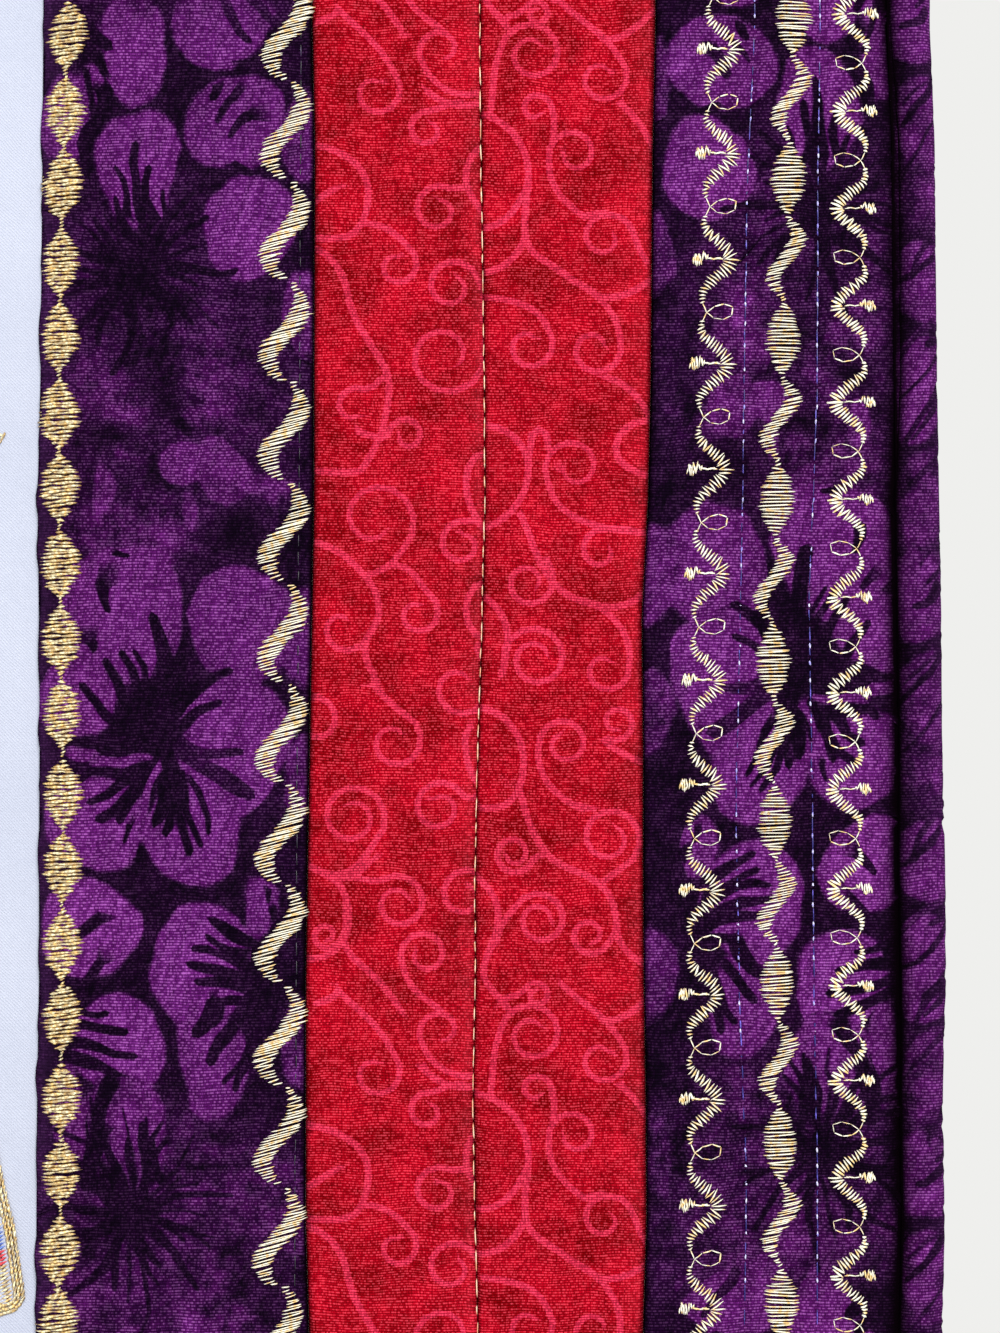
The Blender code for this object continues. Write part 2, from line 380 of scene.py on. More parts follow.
def shell(name, cut, back_inside, front, back, material, measures):
    """A closed cloth: the cut on its front, a plainer back with the same rim, walls between."""
    rim_points = cut.points[cut.rim]
    behind = triangulate(rim_points, back_inside, [])
    tree = tree_of(behind.points)
    front_count = len(cut.points)
    behind_rim = [front_count + tree.find((x, y, 0.0))[1] for x, y in rim_points]
    faces = [tuple(reversed(face)) for face in cut.triangles.tolist()]
    faces += [tuple(front_count + k for k in face) for face in behind.triangles.tolist()]
    count = len(cut.rim)
    for k in range(count):
        n = (k + 1) % count
        faces.append((cut.rim[k], cut.rim[n], behind_rim[n]))
        faces.append((cut.rim[k], behind_rim[n], behind_rim[k]))
    flat = np.concatenate([cut.points, behind.points])
    corners = np.concatenate([front(*cut.points.T), back(*behind.points.T)])
    if signed_volume(corners, faces) < 0.0:
        faces = [tuple(reversed(face)) for face in faces]
    mesh = bpy.data.meshes.new(name)
    mesh.from_pydata(corners.tolist(), [], faces)
    plan = mesh.uv_layers.new(name="cloth")
    loops = np.empty(len(mesh.loops), int)
    mesh.loops.foreach_get("vertex_index", loops)
    plan.data.foreach_set("uv", flat[loops].ravel())
    for attribute, values in measures(flat, front_count).items():
        measured(mesh, attribute, values)
    mesh.shade_smooth()
    mesh.set_sharp_from_angle(angle=math.radians(60))
    return finished(name, mesh, material)


def signed_volume(corners, faces):
    triangles = corners[np.array(faces)]
    cross = np.cross(triangles[:, 1], triangles[:, 2])
    return float(np.einsum("ij,ij->i", triangles[:, 0], cross).sum()) / 6.0


def finished(name, mesh, material):
    """The piece that a mesh becomes."""
    mesh.materials.clear()
    mesh.materials.append(material)
    piece = linked(name, mesh)
    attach(piece, "root")
    return piece


# The scroll print of the red cloth

# A curl: its middle, its radius, the angle at which its arm comes in (0 right, 90 down), its turns,
# its hand (1 turns clockwise), and where its stem starts and heads
Curl = namedtuple("Curl", "x y radius starts turns hand stem_x stem_y heading")
SCROLL_REPEAT = 141.0
SCROLL_STARTS = 333.4
SCROLL_HALF = 0.62
SCROLL_STEP = 1.3
# Each print has curls and stems, and a stem runs smoothly through its nodes: place and heading
FIRST_CURLS = each(Curl, [
    (9.5, -86, 3.8, 315, 0.92, 1, 4, -98, 45), (19, -92, 3.4, 140, 0.8, 1, 25.5, -86.5, 140),
    (17, -80.5, 2.8, 280, 0.95, -1, 21.5, -84.5, 175), (12.5, -61, 3.2, 300, 0.92, 1, 7.5, -67, -5),
    (18.5, -69, 3.6, 300, 1.05, -1, 23, -72, 205), (20.5, -58, 3.9, 345, 1.1, -1, 25, -53, 270),
    (19.5, -48, 5.9, 345, 1.15, 1, 26, -53, 110), (6.5, -40.5, 3.1, 300, 0.62, -1, 11.5, -45, 200),
    (14, -36.5, 2.7, 185, 0.98, 1, 7.5, -37, 10), (9.5, -24.5, 5.9, 50, 1, -1, 8, -16.5, -10),
    (5, -9, 3.6, 50, 0.66, 1, 8.5, -8, 125), (15.5, -11, 3.3, 300, 0.95, 1, 12.5, -18, 5),
    (22, -21, 3.4, 285, 1, -1, 24.5, -24, 215), (0.8, 4.4, 3.6, 250, 0.9, 1, -2, 0.6, 20),
    (12.2, 7.4, 4.2, 290, 1.05, 1, 9.5, -0.5, 50), (21.6, -0.4, 4.6, 330, 0.95, 1, 24.4, -6.5, 200),
    (6.2, 18.2, 4.9, 50, 1.45, -1, 4.5, 26.4, -15), (18.7, 16.9, 3.9, 335, 1.25, -1, 24.6, 15.6, 235),
    (12.8, 30.6, 4.1, 235, 1.25, 1, 4.8, 27, -20), (22.4, 29.4, 3.7, 300, 1, -1, 25.8, 22.6, 150),
    (16.6, 38, 3.6, 150, 1.15, 1, 18.4, 45.6, 215), (2.4, 35.2, 2, 40, 1.1, 1, 5.3, 31, 95),
])
FIRST_STEMS = [
    [(1, -96, -20), (4.5, -98, -60)],
    [(-0.5, -78.5, 5), (8.5, -71.5, 90), (7.5, -67, 115), (-0.5, -65, 180)],
    [(-0.5, -69.5, -25), (5, -72.5, -15)], [(17, -86, 40), (21.5, -84, 5), (25.5, -85, -35)],
    [(25.5, -67.5, 245), (22.5, -74, 275), (25.5, -78.5, 335)],
    [(-0.5, -64, 15), (5.5, -57, 80), (10.5, -47, 60), (11, -39.5, 100), (7.5, -31.5, 120)],
    [(-0.5, -31.5, 0), (7.5, -31.5, -10)],
    [(-0.5, -21.5, 10), (6.5, -18, 45), (10, -11, 95), (8, -6, 90), (10, -1, 60)],
    [(25.5, -34, 190), (22.5, -30, 90), (25.5, -22.5, 55)],
    [(25.5, -15.5, 190), (22.5, -11.5, 90), (25.5, -7.5, -5)],
    [(-1, 24.6, 35), (4.4, 26.8, 10), (9.4, 24.2, -35)],
    [(2.6, 26.6, 25), (5.7, 32.6, 88), (3.6, 37.4, 140), (-1, 38.6, 180)],
    [(4.9, 36, 75), (9.2, 41, 45), (13.4, 46.5, 60)],
    [(23.2, 5.2, 140), (22.6, 9.5, 85), (24.6, 14, 60)],
]
SECOND_CURLS = each(Curl, [
    (7.5, -91.5, 4.6, 185, 1.35, 1, 1.5, -83, 280), (17.5, -88, 3.9, 310, 0.98, 1, 11.5, -99, 45),
    (8, -83.5, 2.4, 0, 0.85, -1, 10.5, -78.5, 270), (13.5, -77, 3.7, 165, 1.02, 1, 15, -68, 215),
    (18, -65, 3.4, 290, 0.85, -1, 24, -61.5, 230), (16.5, -49, 3.9, 340, 1, 1, 17.5, -56, 50),
    (7, -49.5, 3.7, 320, 0.95, 1, 0.5, -56.5, 5), (13.5, -32, 4.3, 150, 1, 1, 24.5, -22.5, 185),
    (17.5, -20, 3.2, 280, 0.8, -1, 22, -23, 185), (7, -15.5, 3.5, 355, 1.1, 1, 9.5, -19, 75),
    (8, -4.5, 4.6, 215, 1.35, 1, 3.5, -3, 275), (18, -3, 3.5, 350, 0.85, 1, 16, -12.5, 25),
    (12.1, 7.7, 3.7, 170, 1.2, 1, 14.5, 17, 205), (18.6, 21.2, 4.7, 70, 1.35, -1, 17.2, 27.9, -35),
    (4.9, 23.5, 2.9, 15, 1.4, 1, 9.4, 23.2, 100), (15.8, 35.2, 2.9, 20, 1.15, 1, 19.7, 33.5, 92),
    (8.6, 33, 4, 205, 1.4, 1, 2.3, 36.6, 275), (8.2, 43.8, 1.9, 200, 1.2, 1, 3.2, 45, 285),
    (19.6, 4.6, 2.7, 120, 1.1, -1, 23.8, 10.4, 190),
])
SECOND_STEMS = [
    [(17.5, -93.5, 5), (25.5, -98, -40)],
    [(-0.5, -83, 10), (7, -74, 90), (6.5, -65.5, 85), (12.5, -59.5, 40), (17.5, -56, 50)],
    [(7, -73, 110), (-0.5, -66.5, 190)], [(6.5, -65, 110), (-0.5, -60, 185)],
    [(17, -56.5, 10), (25.5, -59.5, -35)], [(15, -68, -15), (18, -68.5, 5)],
    [(18, -45, 15), (25.5, -37.5, 60)], [(25.5, -38.5, 200), (19.5, -35, 95), (25.5, -30.5, 10)],
    [(-0.5, -38, -10), (7, -32, 90), (-0.5, -23, 170)], [(7, -33, 290), (8.5, -37.5, 0), (10, -34, 80)],
    [(6, -25, 65), (10.5, -15.5, 50), (18, -12, 10), (25.5, -15.5, -40)],
    [(-0.5, -14, 25), (4, -8, 85), (3, -2, 105)], [(20.5, -84, 40), (25.5, -77, 60)],
    [(-1, 2.4, 5), (4.6, 5.2, 55), (6.3, 10.6, 92), (4.9, 15.4, 125), (-1, 16.8, 185)],
    [(5.6, 13.8, 75), (9.4, 23.2, 52), (17.4, 28, 42), (19.7, 34.6, 85), (24.8, 40.6, 48)],
    [(14, 16.4, 30), (16.4, 17, -5)],
    [(-1, 26.2, 45), (2.6, 31.6, 82), (0.6, 39.6, 105), (4.2, 46, 60)],
]


def heading(degrees):
    return np.array([math.cos(math.radians(degrees)), math.sin(math.radians(degrees))])


def bridge(start, start_way, end, end_way, step):
    """A smooth curve from one point and direction to another."""
    start, end = np.array(start, float), np.array(end, float)
    span = float(np.linalg.norm(end - start))
    first, second = start + start_way * span * 0.38, end - end_way * span * 0.38
    share = np.linspace(0.0, 1.0, max(int(span / step), 3) + 1)[:, None]
    rest = 1.0 - share
    return (rest**3 * start + 3 * rest**2 * share * first + 3 * rest * share**2 * second
            + share**3 * end)


def stem_path(nodes):
    parts = [
        bridge((x, y), heading(way), (to_x, to_y), heading(to_way), SCROLL_STEP)
        for (x, y, way), (to_x, to_y, to_way) in zip(nodes, nodes[1:])
    ]
    return np.concatenate([parts[0]] + [part[1:] for part in parts[1:]])


def curl_path(curl):
    """A stem that runs into a spiral."""
    share = np.linspace(0.0, 1.0, int(curl.turns * 13) + 1)
    angle = np.radians(curl.starts + curl.hand * 360.0 * curl.turns * share)
    radius = curl.radius * (1.0 - 0.62 * share**1.15)
    spiral = np.stack([curl.x + radius * np.cos(angle), curl.y + radius * np.sin(angle)], axis=1)
    way = (spiral[1] - spiral[0]) / np.linalg.norm(spiral[1] - spiral[0])
    stem = bridge((curl.stem_x, curl.stem_y), heading(curl.heading), spiral[0], way, SCROLL_STEP)
    return np.concatenate([stem[:-1], spiral])


def scroll_arms(curls, stems):
    """Every arm of one repeat with its half widths, which taper along a curl."""
    arms = []
    for curl in curls:
        path = curl_path(curl)
        arms.append((path, SCROLL_HALF * (1.0 - 0.3 * np.linspace(0.0, 1.0, len(path)) ** 3)))
    for nodes in stems:
        path = stem_path(nodes)
        arms.append((path, np.full(len(path), SCROLL_HALF * 1.06)))
    return arms


def beside(path, offset):
    """The path moved sideways."""
    way = np.gradient(path, axis=0)
    way /= np.linalg.norm(way, axis=1)[:, None]
    return path + np.stack([-way[:, 1], way[:, 0]], axis=1) * np.reshape(offset, (-1, 1))


def runs_inside(path, keep):
    """The stretches of a path whose points are kept."""
    runs, run = [], []
    for point, inside in zip(path, keep):
        if inside:
            run.append((float(point[0]), float(point[1])))
        elif run:
            runs.append(run)
            run = []
    runs.append(run)
    return [run for run in runs if len(run) > 1]


def on_cloth(path, span, spare=0.0):
    """Which points of a path lie on the cloth, or a spare distance beside it."""
    x, y = path.T
    return (x > span[0] - spare) & (x < span[1] + spare) & (y > 1.0) & (y < HEIGHT - 1.0)


class ScrollPrint:
    """The scroll print on one strip: lines for the cut, and how far a point is inside an arm."""

    def __init__(self, arms, left, shift):
        self.paths = []
        for number in range(-1, int(HEIGHT / SCROLL_REPEAT) + 2):
            drop = (SCROLL_STARTS + shift) % SCROLL_REPEAT + SCROLL_REPEAT * (number - 1)
            for path, half in arms:
                moved = path + np.array([left, drop])
                if moved[:, 1].max() > 0.0 and moved[:, 1].min() < HEIGHT:
                    self.paths.append((moved, half))
        points, halves = [], []
        for path, half in self.paths:
            for a, b, wide, narrow in zip(path, path[1:], half, half[1:]):
                for share in (0.0, 0.25, 0.5, 0.75):
                    points.append(a + (b - a) * share)
                    halves.append(wide + (narrow - wide) * share)
        self.halves = np.array(halves)
        self.tree = tree_of(points)

    def lines(self, span):
        found = []
        for path, half in self.paths:
            for edge in (path, beside(path, half), beside(path, -half)):
                found.extend(runs_inside(edge, on_cloth(path, span)))
        return found

    def measure(self, points):
        """1 in the middle of an arm, 0 at its edge and beyond."""
        inside = np.zeros(len(points))
        for number, (x, y) in enumerate(points):
            _, nearest, distance = self.tree.find((x, y, 0.0))
            inside[number] = max(0.0, 1.0 - distance / self.halves[nearest])
        return inside


# The dyed flowers of the purple cloth

# Petals and hazes are ovals of lighter dye, fingers are dark strokes, and a heart has strokes all round
Oval = namedtuple("Oval", "x y across down dye")
Finger = namedtuple("Finger", "x y to_x to_y width dye", defaults=[0.05])
Heart = namedtuple("Heart", "x y radius rays reach width dye")
BAND_REPEAT = 192.0
BAND_STARTS = 234.0
SOFT_EDGE = 0.6
FINGER_EDGE = 0.3
GROUND_DYE = 0.08
BAND_PETALS = each(Oval, [
    (26.5, 2.2, 8, 8, 0.78), (13.6, 7, 5.5, 8.6, 0.8), (8.2, 12, 2.8, 3.6, 0.76),
    (28, 18, 7.8, 7.5, 0.72), (3.8, 17.5, 4.4, 6.6, 0.72), (14.1, 24.2, 6.5, 8.6, 0.76),
    (30.2, 33, 6.8, 8.2, 0.8), (20.8, 67.2, 3.8, 3.6, 0.7), (26.4, 67.8, 4.4, 4.8, 0.62),
    (8.8, 70.3, 1.9, 3.7, 0.6), (21.4, 73.6, 1.4, 3.6, 0.58), (12, 88, 9, 10.6, 0.76),
    (5.6, 100.4, 6.2, 6, 0.76), (29.2, 90.2, 7.8, 9.8, 0.72), (27.8, 107, 8.4, 10.4, 0.78),
    (8.4, 118.4, 7.4, 7.6, 0.8), (22.4, 119.6, 7.1, 9, 0.8), (31.5, 130.4, 2.8, 5.2, 0.76),
    (7, 133.6, 7.3, 7.5, 0.86), (23.3, 138.8, 7.5, 9.4, 0.84), (11.2, 150, 7.1, 7.7, 0.86),
    (24.8, 153, 5.3, 9.2, 0.74), (12.4, 161.8, 6.5, 8.2, 0.64), (4.4, 160.6, 2.8, 8, 0.64),
    (38.4, 92, 4.4, 8, 0.7), (38.2, 112, 3.4, 7, 0.5), (38.4, 20, 3.6, 7, 0.55),
    (38.8, 46, 4.4, 7, 0.6), (38.4, 150, 4, 8, 0.6), (38.2, 176, 3.6, 7, 0.5),
])
BAND_HAZES = each(Oval, [
    (20, 58, 20, 26, 0.22), (23.1, 55, 6, 7, 0.5), (8.1, 54, 4, 5, 0.42), (12.8, 62, 2.8, 6, 0.5),
    (33, 60, 4, 9, 0.2), (32, 71, 4.6, 5.4, 0.46), (9.5, 77, 6.5, 5, 0.38), (17.4, 78, 3.2, 7, 0.46),
    (28.4, 76, 5, 4.4, 0.05), (9.4, 62.6, 3.6, 1.6, 0.02), (18.4, 69.4, 4.4, 1.6, 0.02),
    (18.6, 56, 2.4, 5, 0.04), (20, 177, 22, 17, 0.36), (27, 182, 7, 8, 0.34), (6, 184, 6, 9, 0.36),
    (35, 188, 5, 8, 0.22), (31, 140, 4, 4, 0.03), (15, 40, 14, 15, 0.25),
])
BAND_HEARTS = each(Heart, [
    (13.6, 38.5, 5.8, 24, 10, 1.4, 0.05), (14.6, 105.2, 4.6, 0, 0, 1, 0.05),
    (18.6, 106.4, 3.6, 0, 0, 1, 0.05), (13.6, 174.4, 3.6, 30, 14, 1.3, 0.06),
    (31.4, 140, 2.6, 0, 0, 1, 0.05),
])
BAND_FINGERS = each(Finger, [
    (14.2, 31.5, 14.2, 20.6, 1.7), (16.5, 32, 16, 24, 1.7), (12.1, 31, 11.4, 24.4, 1.4),
    (18.2, 33, 18.3, 27.6, 1.1), (27.6, 14, 24.9, 17.8, 1.1, 0.1), (25.4, 12.4, 24.6, 14.2, 1.5, 0.1),
    (30, 16.2, 27.2, 19.6, 1.7, 0.1), (26.5, 0, 30.5, 6, 1.7, 0.1), (30, -1, 34.5, 4.5, 1.5, 0.1),
    (28.5, 9, 30.2, 9.3, 1.3, 0.1), (6.2, 0.5, 9.6, 6.5, 2.3), (5.8, 6.8, 9, 10.2, 1.9),
    (28.2, 24.3, 30.8, 24.6, 1.8, 0.06), (6.2, 10.6, 7.4, 16.2, 1.1), (8.8, 13, 8.6, 18.8, 2.3),
    (8.5, 18.6, 7, 25.2, 2.2), (16, 101, 16.1, 88.5, 2.5), (8.8, 84.5, 9.5, 88.2, 1.7),
    (7.2, 92.9, 7.6, 94, 1.6), (13.6, 105, 9.9, 95.2, 1.8), (14.8, 103.5, 11.8, 94, 1.5),
    (15.2, 102.5, 13.5, 93.4, 1.3), (13, 105.4, 6.8, 99, 1.6), (18.2, 105, 19.3, 95.3, 2.2),
    (19.4, 104.4, 26.9, 96.4, 1.8, 0.06), (20.4, 105.4, 26.2, 100.8, 1.5, 0.1),
    (20.8, 107.2, 28.6, 107.6, 1.7, 0.26), (20.6, 108.5, 30, 114.2, 2.7, 0.14),
    (17.2, 108.5, 16.9, 117.8, 2.7, 0.04), (18.4, 109, 18.5, 119.5, 2, 0.04),
    (19.2, 110.5, 22, 123.2, 1.5), (20.4, 111.5, 23.4, 122.2, 1.3),
    (21.2, 112.5, 24.1, 120.2, 1.2, 0.06), (13.8, 107, 7.4, 115.8, 1.9), (14.8, 109, 9.1, 118.3, 2),
    (15.6, 110, 11.9, 117.8, 1.9), (12.8, 106.6, 6, 112.4, 1.8), (13.2, 118.4, 12.6, 120.8, 1.1),
    (8, 109.3, 15.4, 109.3, 1.6, 0.7), (4.2, 108.3, 7.4, 108.3, 2, 0.6),
    (16.9, 110.8, 14.9, 116.4, 1.3, 0.72), (8.8, 132.2, 6, 135.2, 1.7, 0.06),
    (9.4, 137.8, 5.4, 142.6, 1.4, 0.08), (30.1, 135.4, 24.2, 132.4, 1.8, 0.08),
    (30.1, 137.2, 23.5, 134.8, 1.5, 0.08), (30.1, 138.7, 21.6, 136.6, 1.5, 0.08),
    (29.6, 140, 21.4, 138.8, 1.8, 0.08), (30, 141.8, 22.6, 141.2, 1.8, 0.08),
    (30.6, 144, 25.6, 143.6, 1.6, 0.08), (32.2, 127.6, 32.4, 129.6, 1.1, 0.06),
    (33.2, 130.6, 33.6, 132.4, 1.3, 0.1), (4.2, 145.2, 9.4, 145.4, 1.3, 0.06),
    (3.8, 148, 11.8, 148.2, 1.7), (3.8, 150, 13.2, 151.6, 1.7), (3.8, 152, 11.2, 154.6, 1.9),
    (27.8, 147, 24, 153.2, 1.8, 0.08), (30, 148, 26.2, 155.8, 1.5, 0.08),
    (31, 151, 28.2, 156.8, 1.7, 0.08), (25.8, 144, 22.4, 149, 2.4, 0.06), (10.6, 156, 8.2, 163, 2.4),
    (8.2, 162.6, 6.4, 170.4, 2.8), (15.3, 170, 15.2, 161.4, 1.9, 0.06),
    (13.2, 170.6, 12.8, 163, 1.1, 0.1), (17.5, 170.6, 16.6, 164, 1.5, 0.06),
    (19, 60, 21.4, 62.8, 1.6, 0.06), (11.2, 79.3, 13.4, 79.5, 1.2),
])
# The binding is cut aslant, so its fingers run diagonally
BINDING_REPEAT = 83.0
BINDING_PETALS = each(Oval, [
    (5.2, 6, 6, 6.6, 0.66), (4, 21.5, 6.6, 8.2, 0.68), (6.2, 37, 6.4, 7.4, 0.46),
    (3.6, 51.5, 5.6, 7, 0.64), (12.4, 13, 4.4, 8, 0.6), (12.8, 45, 4.6, 9, 0.6),
    (5.4, 66, 5.6, 7.2, 0.55), (9.4, 77, 5, 4.4, 0.45), (13, 29, 3.4, 5.4, 0.5),
])
BINDING_HAZES = each(Oval, [
    (8, 40, 9, 9, 0.34), (6, 74, 9, 8, 0.3),
])


def diagonal_fingers(rng):
    """Dark strokes that run down and inwards across the binding."""
    fingers = []
    down = 2.0
    while down < BINDING_REPEAT - 2.0:
        start = rng.uniform(5.0, 12.0)
        length = rng.uniform(2.5, 8.0)
        slope = rng.uniform(0.6, 1.4)
        fingers.append(Finger(start, down, start - length, down + length * slope, rng.uniform(0.8, 1.5),
                              rng.uniform(0.06, 0.26)))
        down += rng.choice([1.6, 2.2, 3.0, 7.0])
    return fingers


def heart_strokes(rng):
    """The strokes that stand out from each flower's heart all round."""
    strokes = []
    for heart in BAND_HEARTS:
        for number in range(heart.rays):
            way = heading(360.0 * (number + rng.uniform(-0.35, 0.35)) / heart.rays)
            first = heart.radius * rng.uniform(0.5, 0.9)
            last = heart.radius + heart.reach * rng.uniform(0.3, 1.0)
            strokes.append(Finger(heart.x + way[0] * first, heart.y + way[1] * first,
                                  heart.x + way[0] * last, heart.y + way[1] * last,
                                  heart.width * rng.uniform(0.6, 1.1), heart.dye))
    return strokes


def finger_spine(finger):
    """The bent middle line of a stroke and its half widths, which taper."""
    start, run = np.array(finger[:2]), np.array(finger[2:4]) - np.array(finger[:2])
    share = np.linspace(0.0, 1.0, 5)[:, None]
    bend = 0.11 * math.sin(3.1 * finger.x + 1.7 * finger.y)
    spine = start + run * share + np.array([-run[1], run[0]]) * bend * 4.0 * share * (1.0 - share)
    return spine, finger.width * (0.6 - 0.2 * share[:, 0] ** 1.6)


def wandering(x, y):
    """How far the dye has crept sideways and along."""
    across = 0.5 * np.sin(y / 3.1 + 1.3 * np.sin(x / 4.7)) + 0.2 * np.sin(y / 1.13 + x / 1.9)
    down = 0.5 * np.sin(x / 2.7 + 1.1 * np.sin(y / 5.3)) + 0.2 * np.sin(x / 0.97 - y / 1.7)
    return across, down


def wobble(angle, petal):
    """A hand-drawn petal isn't quite an oval."""
    phase = petal.x * 1.7 + petal.y
    return 1.0 + 0.05 * np.sin(2 * angle + phase) + 0.035 * np.sin(3 * angle + 2.3 * phase)


class FlowerPrint:
    """The dyed flowers on one strip: lines for the cut, and how light the dye is at a point."""

    def __init__(self, petals, hazes, hearts, fingers, repeat, shift, start=0.0, way=1.0):
        self.petals, self.hazes, self.hearts, self.fingers = petals, hazes, hearts, fingers
        self.repeat, self.shift = repeat, shift
        self.start, self.way = start, way

    def drops(self):
        first = self.shift % self.repeat - 2 * self.repeat
        return [first + self.repeat * number for number in range(int(HEIGHT / self.repeat) + 4)]

    def lines(self, span):
        found = []
        for drop in self.drops():
            for ring in self.rings():
                x, y = ring[:, 0], ring[:, 1] + drop
                for _ in range(2):
                    across, down = wandering(x, y)
                    x, y = ring[:, 0] - across, ring[:, 1] + drop - down
                cloth = np.stack([x * self.way + self.start, y], axis=1)
                found.extend(runs_inside(cloth, on_cloth(cloth, span, spare=1.5)))
        return found

    def rings(self):
        for petal in self.petals:
            size = min(petal.across, petal.down)
            angle = np.linspace(0.0, 2 * np.pi, max(int(size * 2.8), 12) + 1)
            for inset in (0.0, SOFT_EDGE):
                reach = wobble(angle, petal) - inset / size
                yield np.stack([petal.x + petal.across * reach * np.cos(angle),
                                petal.y + petal.down * reach * np.sin(angle)], axis=1)
        for finger in self.fingers:
            spine, half = finger_spine(finger)
            way = (spine[-1] - spine[-2]) / np.linalg.norm(spine[-1] - spine[-2])
            tip = spine[-1] + way * half[-1]
            yield np.concatenate([beside(spine, half), [tip], beside(spine, -half)[::-1]])
            core = half - FINGER_EDGE
            if core.min() > 0.12:
                tip = spine[-1] + way * core[-1]
                yield np.concatenate([beside(spine, core), [tip], beside(spine, -core)[::-1]])
            else:
                yield spine[::2]

    def measure(self, points):
        x, y = (points[:, 0] - self.start) * self.way, points[:, 1]
        across, down = wandering(x, y)
        x, y = x + across, (y + down - self.shift) % self.repeat
        light = np.full(len(x), GROUND_DYE)
        for lift in (-self.repeat, 0.0, self.repeat):
            light = self.painted(light, x, y + lift)
        return light

    def painted(self, light, x, y):
        for haze in self.hazes:
            away = np.hypot((x - haze.x) / haze.across, (y - haze.y) / haze.down)
            light = light + (haze.dye - light) * ease(1.6 - 1.2 * away)
        for petal in self.petals:
            size = min(petal.across, petal.down)
            angle = np.arctan2((y - petal.y) / petal.down, (x - petal.x) / petal.across)
            away = np.hypot((x - petal.x) / petal.across, (y - petal.y) / petal.down)
            cover = limited((wobble(angle, petal) - away) * size / SOFT_EDGE)
            light = light + (petal.dye * (1.0 - 0.12 * away**2) - light) * cover
        for heart in self.hearts:
            away = np.hypot(x - heart.x, y - heart.y) / heart.radius
            angle = np.arctan2(y - heart.y, x - heart.x)
            ragged = 1.0 + 0.13 * np.sin(7 * angle + heart.x) + 0.08 * np.sin(13 * angle)
            light = light + (0.04 - light) * ease((ragged - away) * 2.6)
        for finger in self.fingers:
            light = self.stroked(light, x, y, finger)
        return light

    @staticmethod
    def stroked(light, x, y, finger):
        spine, half = finger_spine(finger)
        low, high = spine.min(axis=0) - finger.width, spine.max(axis=0) + finger.width
        near = np.nonzero((x > low[0]) & (x < high[0]) & (y > low[1]) & (y < high[1]))[0]
        if not len(near):
            return light
        cover = np.zeros(len(near))
        for a, b, wide, narrow in zip(spine, spine[1:], half, half[1:]):
            run = b - a
            share = limited(((x[near] - a[0]) * run[0] + (y[near] - a[1]) * run[1]) / (run @ run))
            away = np.hypot(x[near] - a[0] - share * run[0], y[near] - a[1] - share * run[1])
            inside = (wide + (narrow - wide) * share - away) / FINGER_EDGE
            cover = np.maximum(cover, limited(inside))
        light[near] += (finger.dye - light[near]) * cover
        return light


# Sewing

# Stitches are laid out flat, then a Geometry Nodes tree lays a thread along each of them
Stitch = namedtuple("Stitch", "out down to_out to_down girth lift")
NEEDLE_SINK = 0.16
THREAD_SIDES = 3
# How far a thread's points crowd towards its ends, and its girth at the ends and in the middle
END_CROWDING = -0.17
END_GIRTH = 0.55
MORE_GIRTH = 0.45


class Net:
    """Adds nodes to a tree and joins them in one call each."""

    def __init__(self, tree):
        self.tree = tree

    def node(self, kind, settings=None, **joined):
        made = self.tree.nodes.new(kind)
        for name, value in (settings or {}).items():
            setattr(made, name, value)
        self.fill(made, **joined)
        return made

    def fill(self, node, **joined):
        """Joins values to the inputs of these names."""
        for name, value in joined.items():
            label = name.replace("_", " ").lower()
            socket = next(s for s in node.inputs if s.name.lower() == label and s.enabled)
            self.join(socket, value)

    def join(self, socket, value):
        if isinstance(value, bpy.types.NodeSocket):
            self.tree.links.new(value, socket)
        else:
            socket.default_value = value

    def math(self, operation, *values, clamp=False):
        made = self.node("ShaderNodeMath", {"operation": operation, "use_clamp": clamp})
        for socket, value in zip(made.inputs, values):
            self.join(socket, value)
        return made.outputs[0]

    add = partialmethod(math, "ADD")
    less = partialmethod(math, "SUBTRACT")
    times = partialmethod(math, "MULTIPLY")
    over = partialmethod(math, "DIVIDE")
    line = partialmethod(math, "MULTIPLY_ADD")
    floor = partialmethod(math, "FLOOR")

    def wave(self, value, turns):
        return self.math("SINE", self.times(value, turns))

    def vectors(self, operation, first, number, second):
        made = self.node("ShaderNodeVectorMath", {"operation": operation})
        self.join(made.inputs[0], first)
        self.join(made.inputs[number], second)
        return made.outputs[0]

    def vector(self, x, y):
        return self.node("ShaderNodeCombineXYZ", X=x, Y=y).outputs[0]

    def mix(self, share, first, second, blend="MIX"):
        made = self.node("ShaderNodeMix", {"data_type": "RGBA", "blend_type": blend})
        for number, value in ((0, share), (6, first), (7, second)):
            self.join(made.inputs[number], value)
        return made.outputs[2]


def add_inputs(tree, inputs):
    for name, kind, value in inputs:
        socket = tree.interface.new_socket(name, in_out="INPUT", socket_type="NodeSocket" + kind)
        if value is not None:
            socket.default_value = value


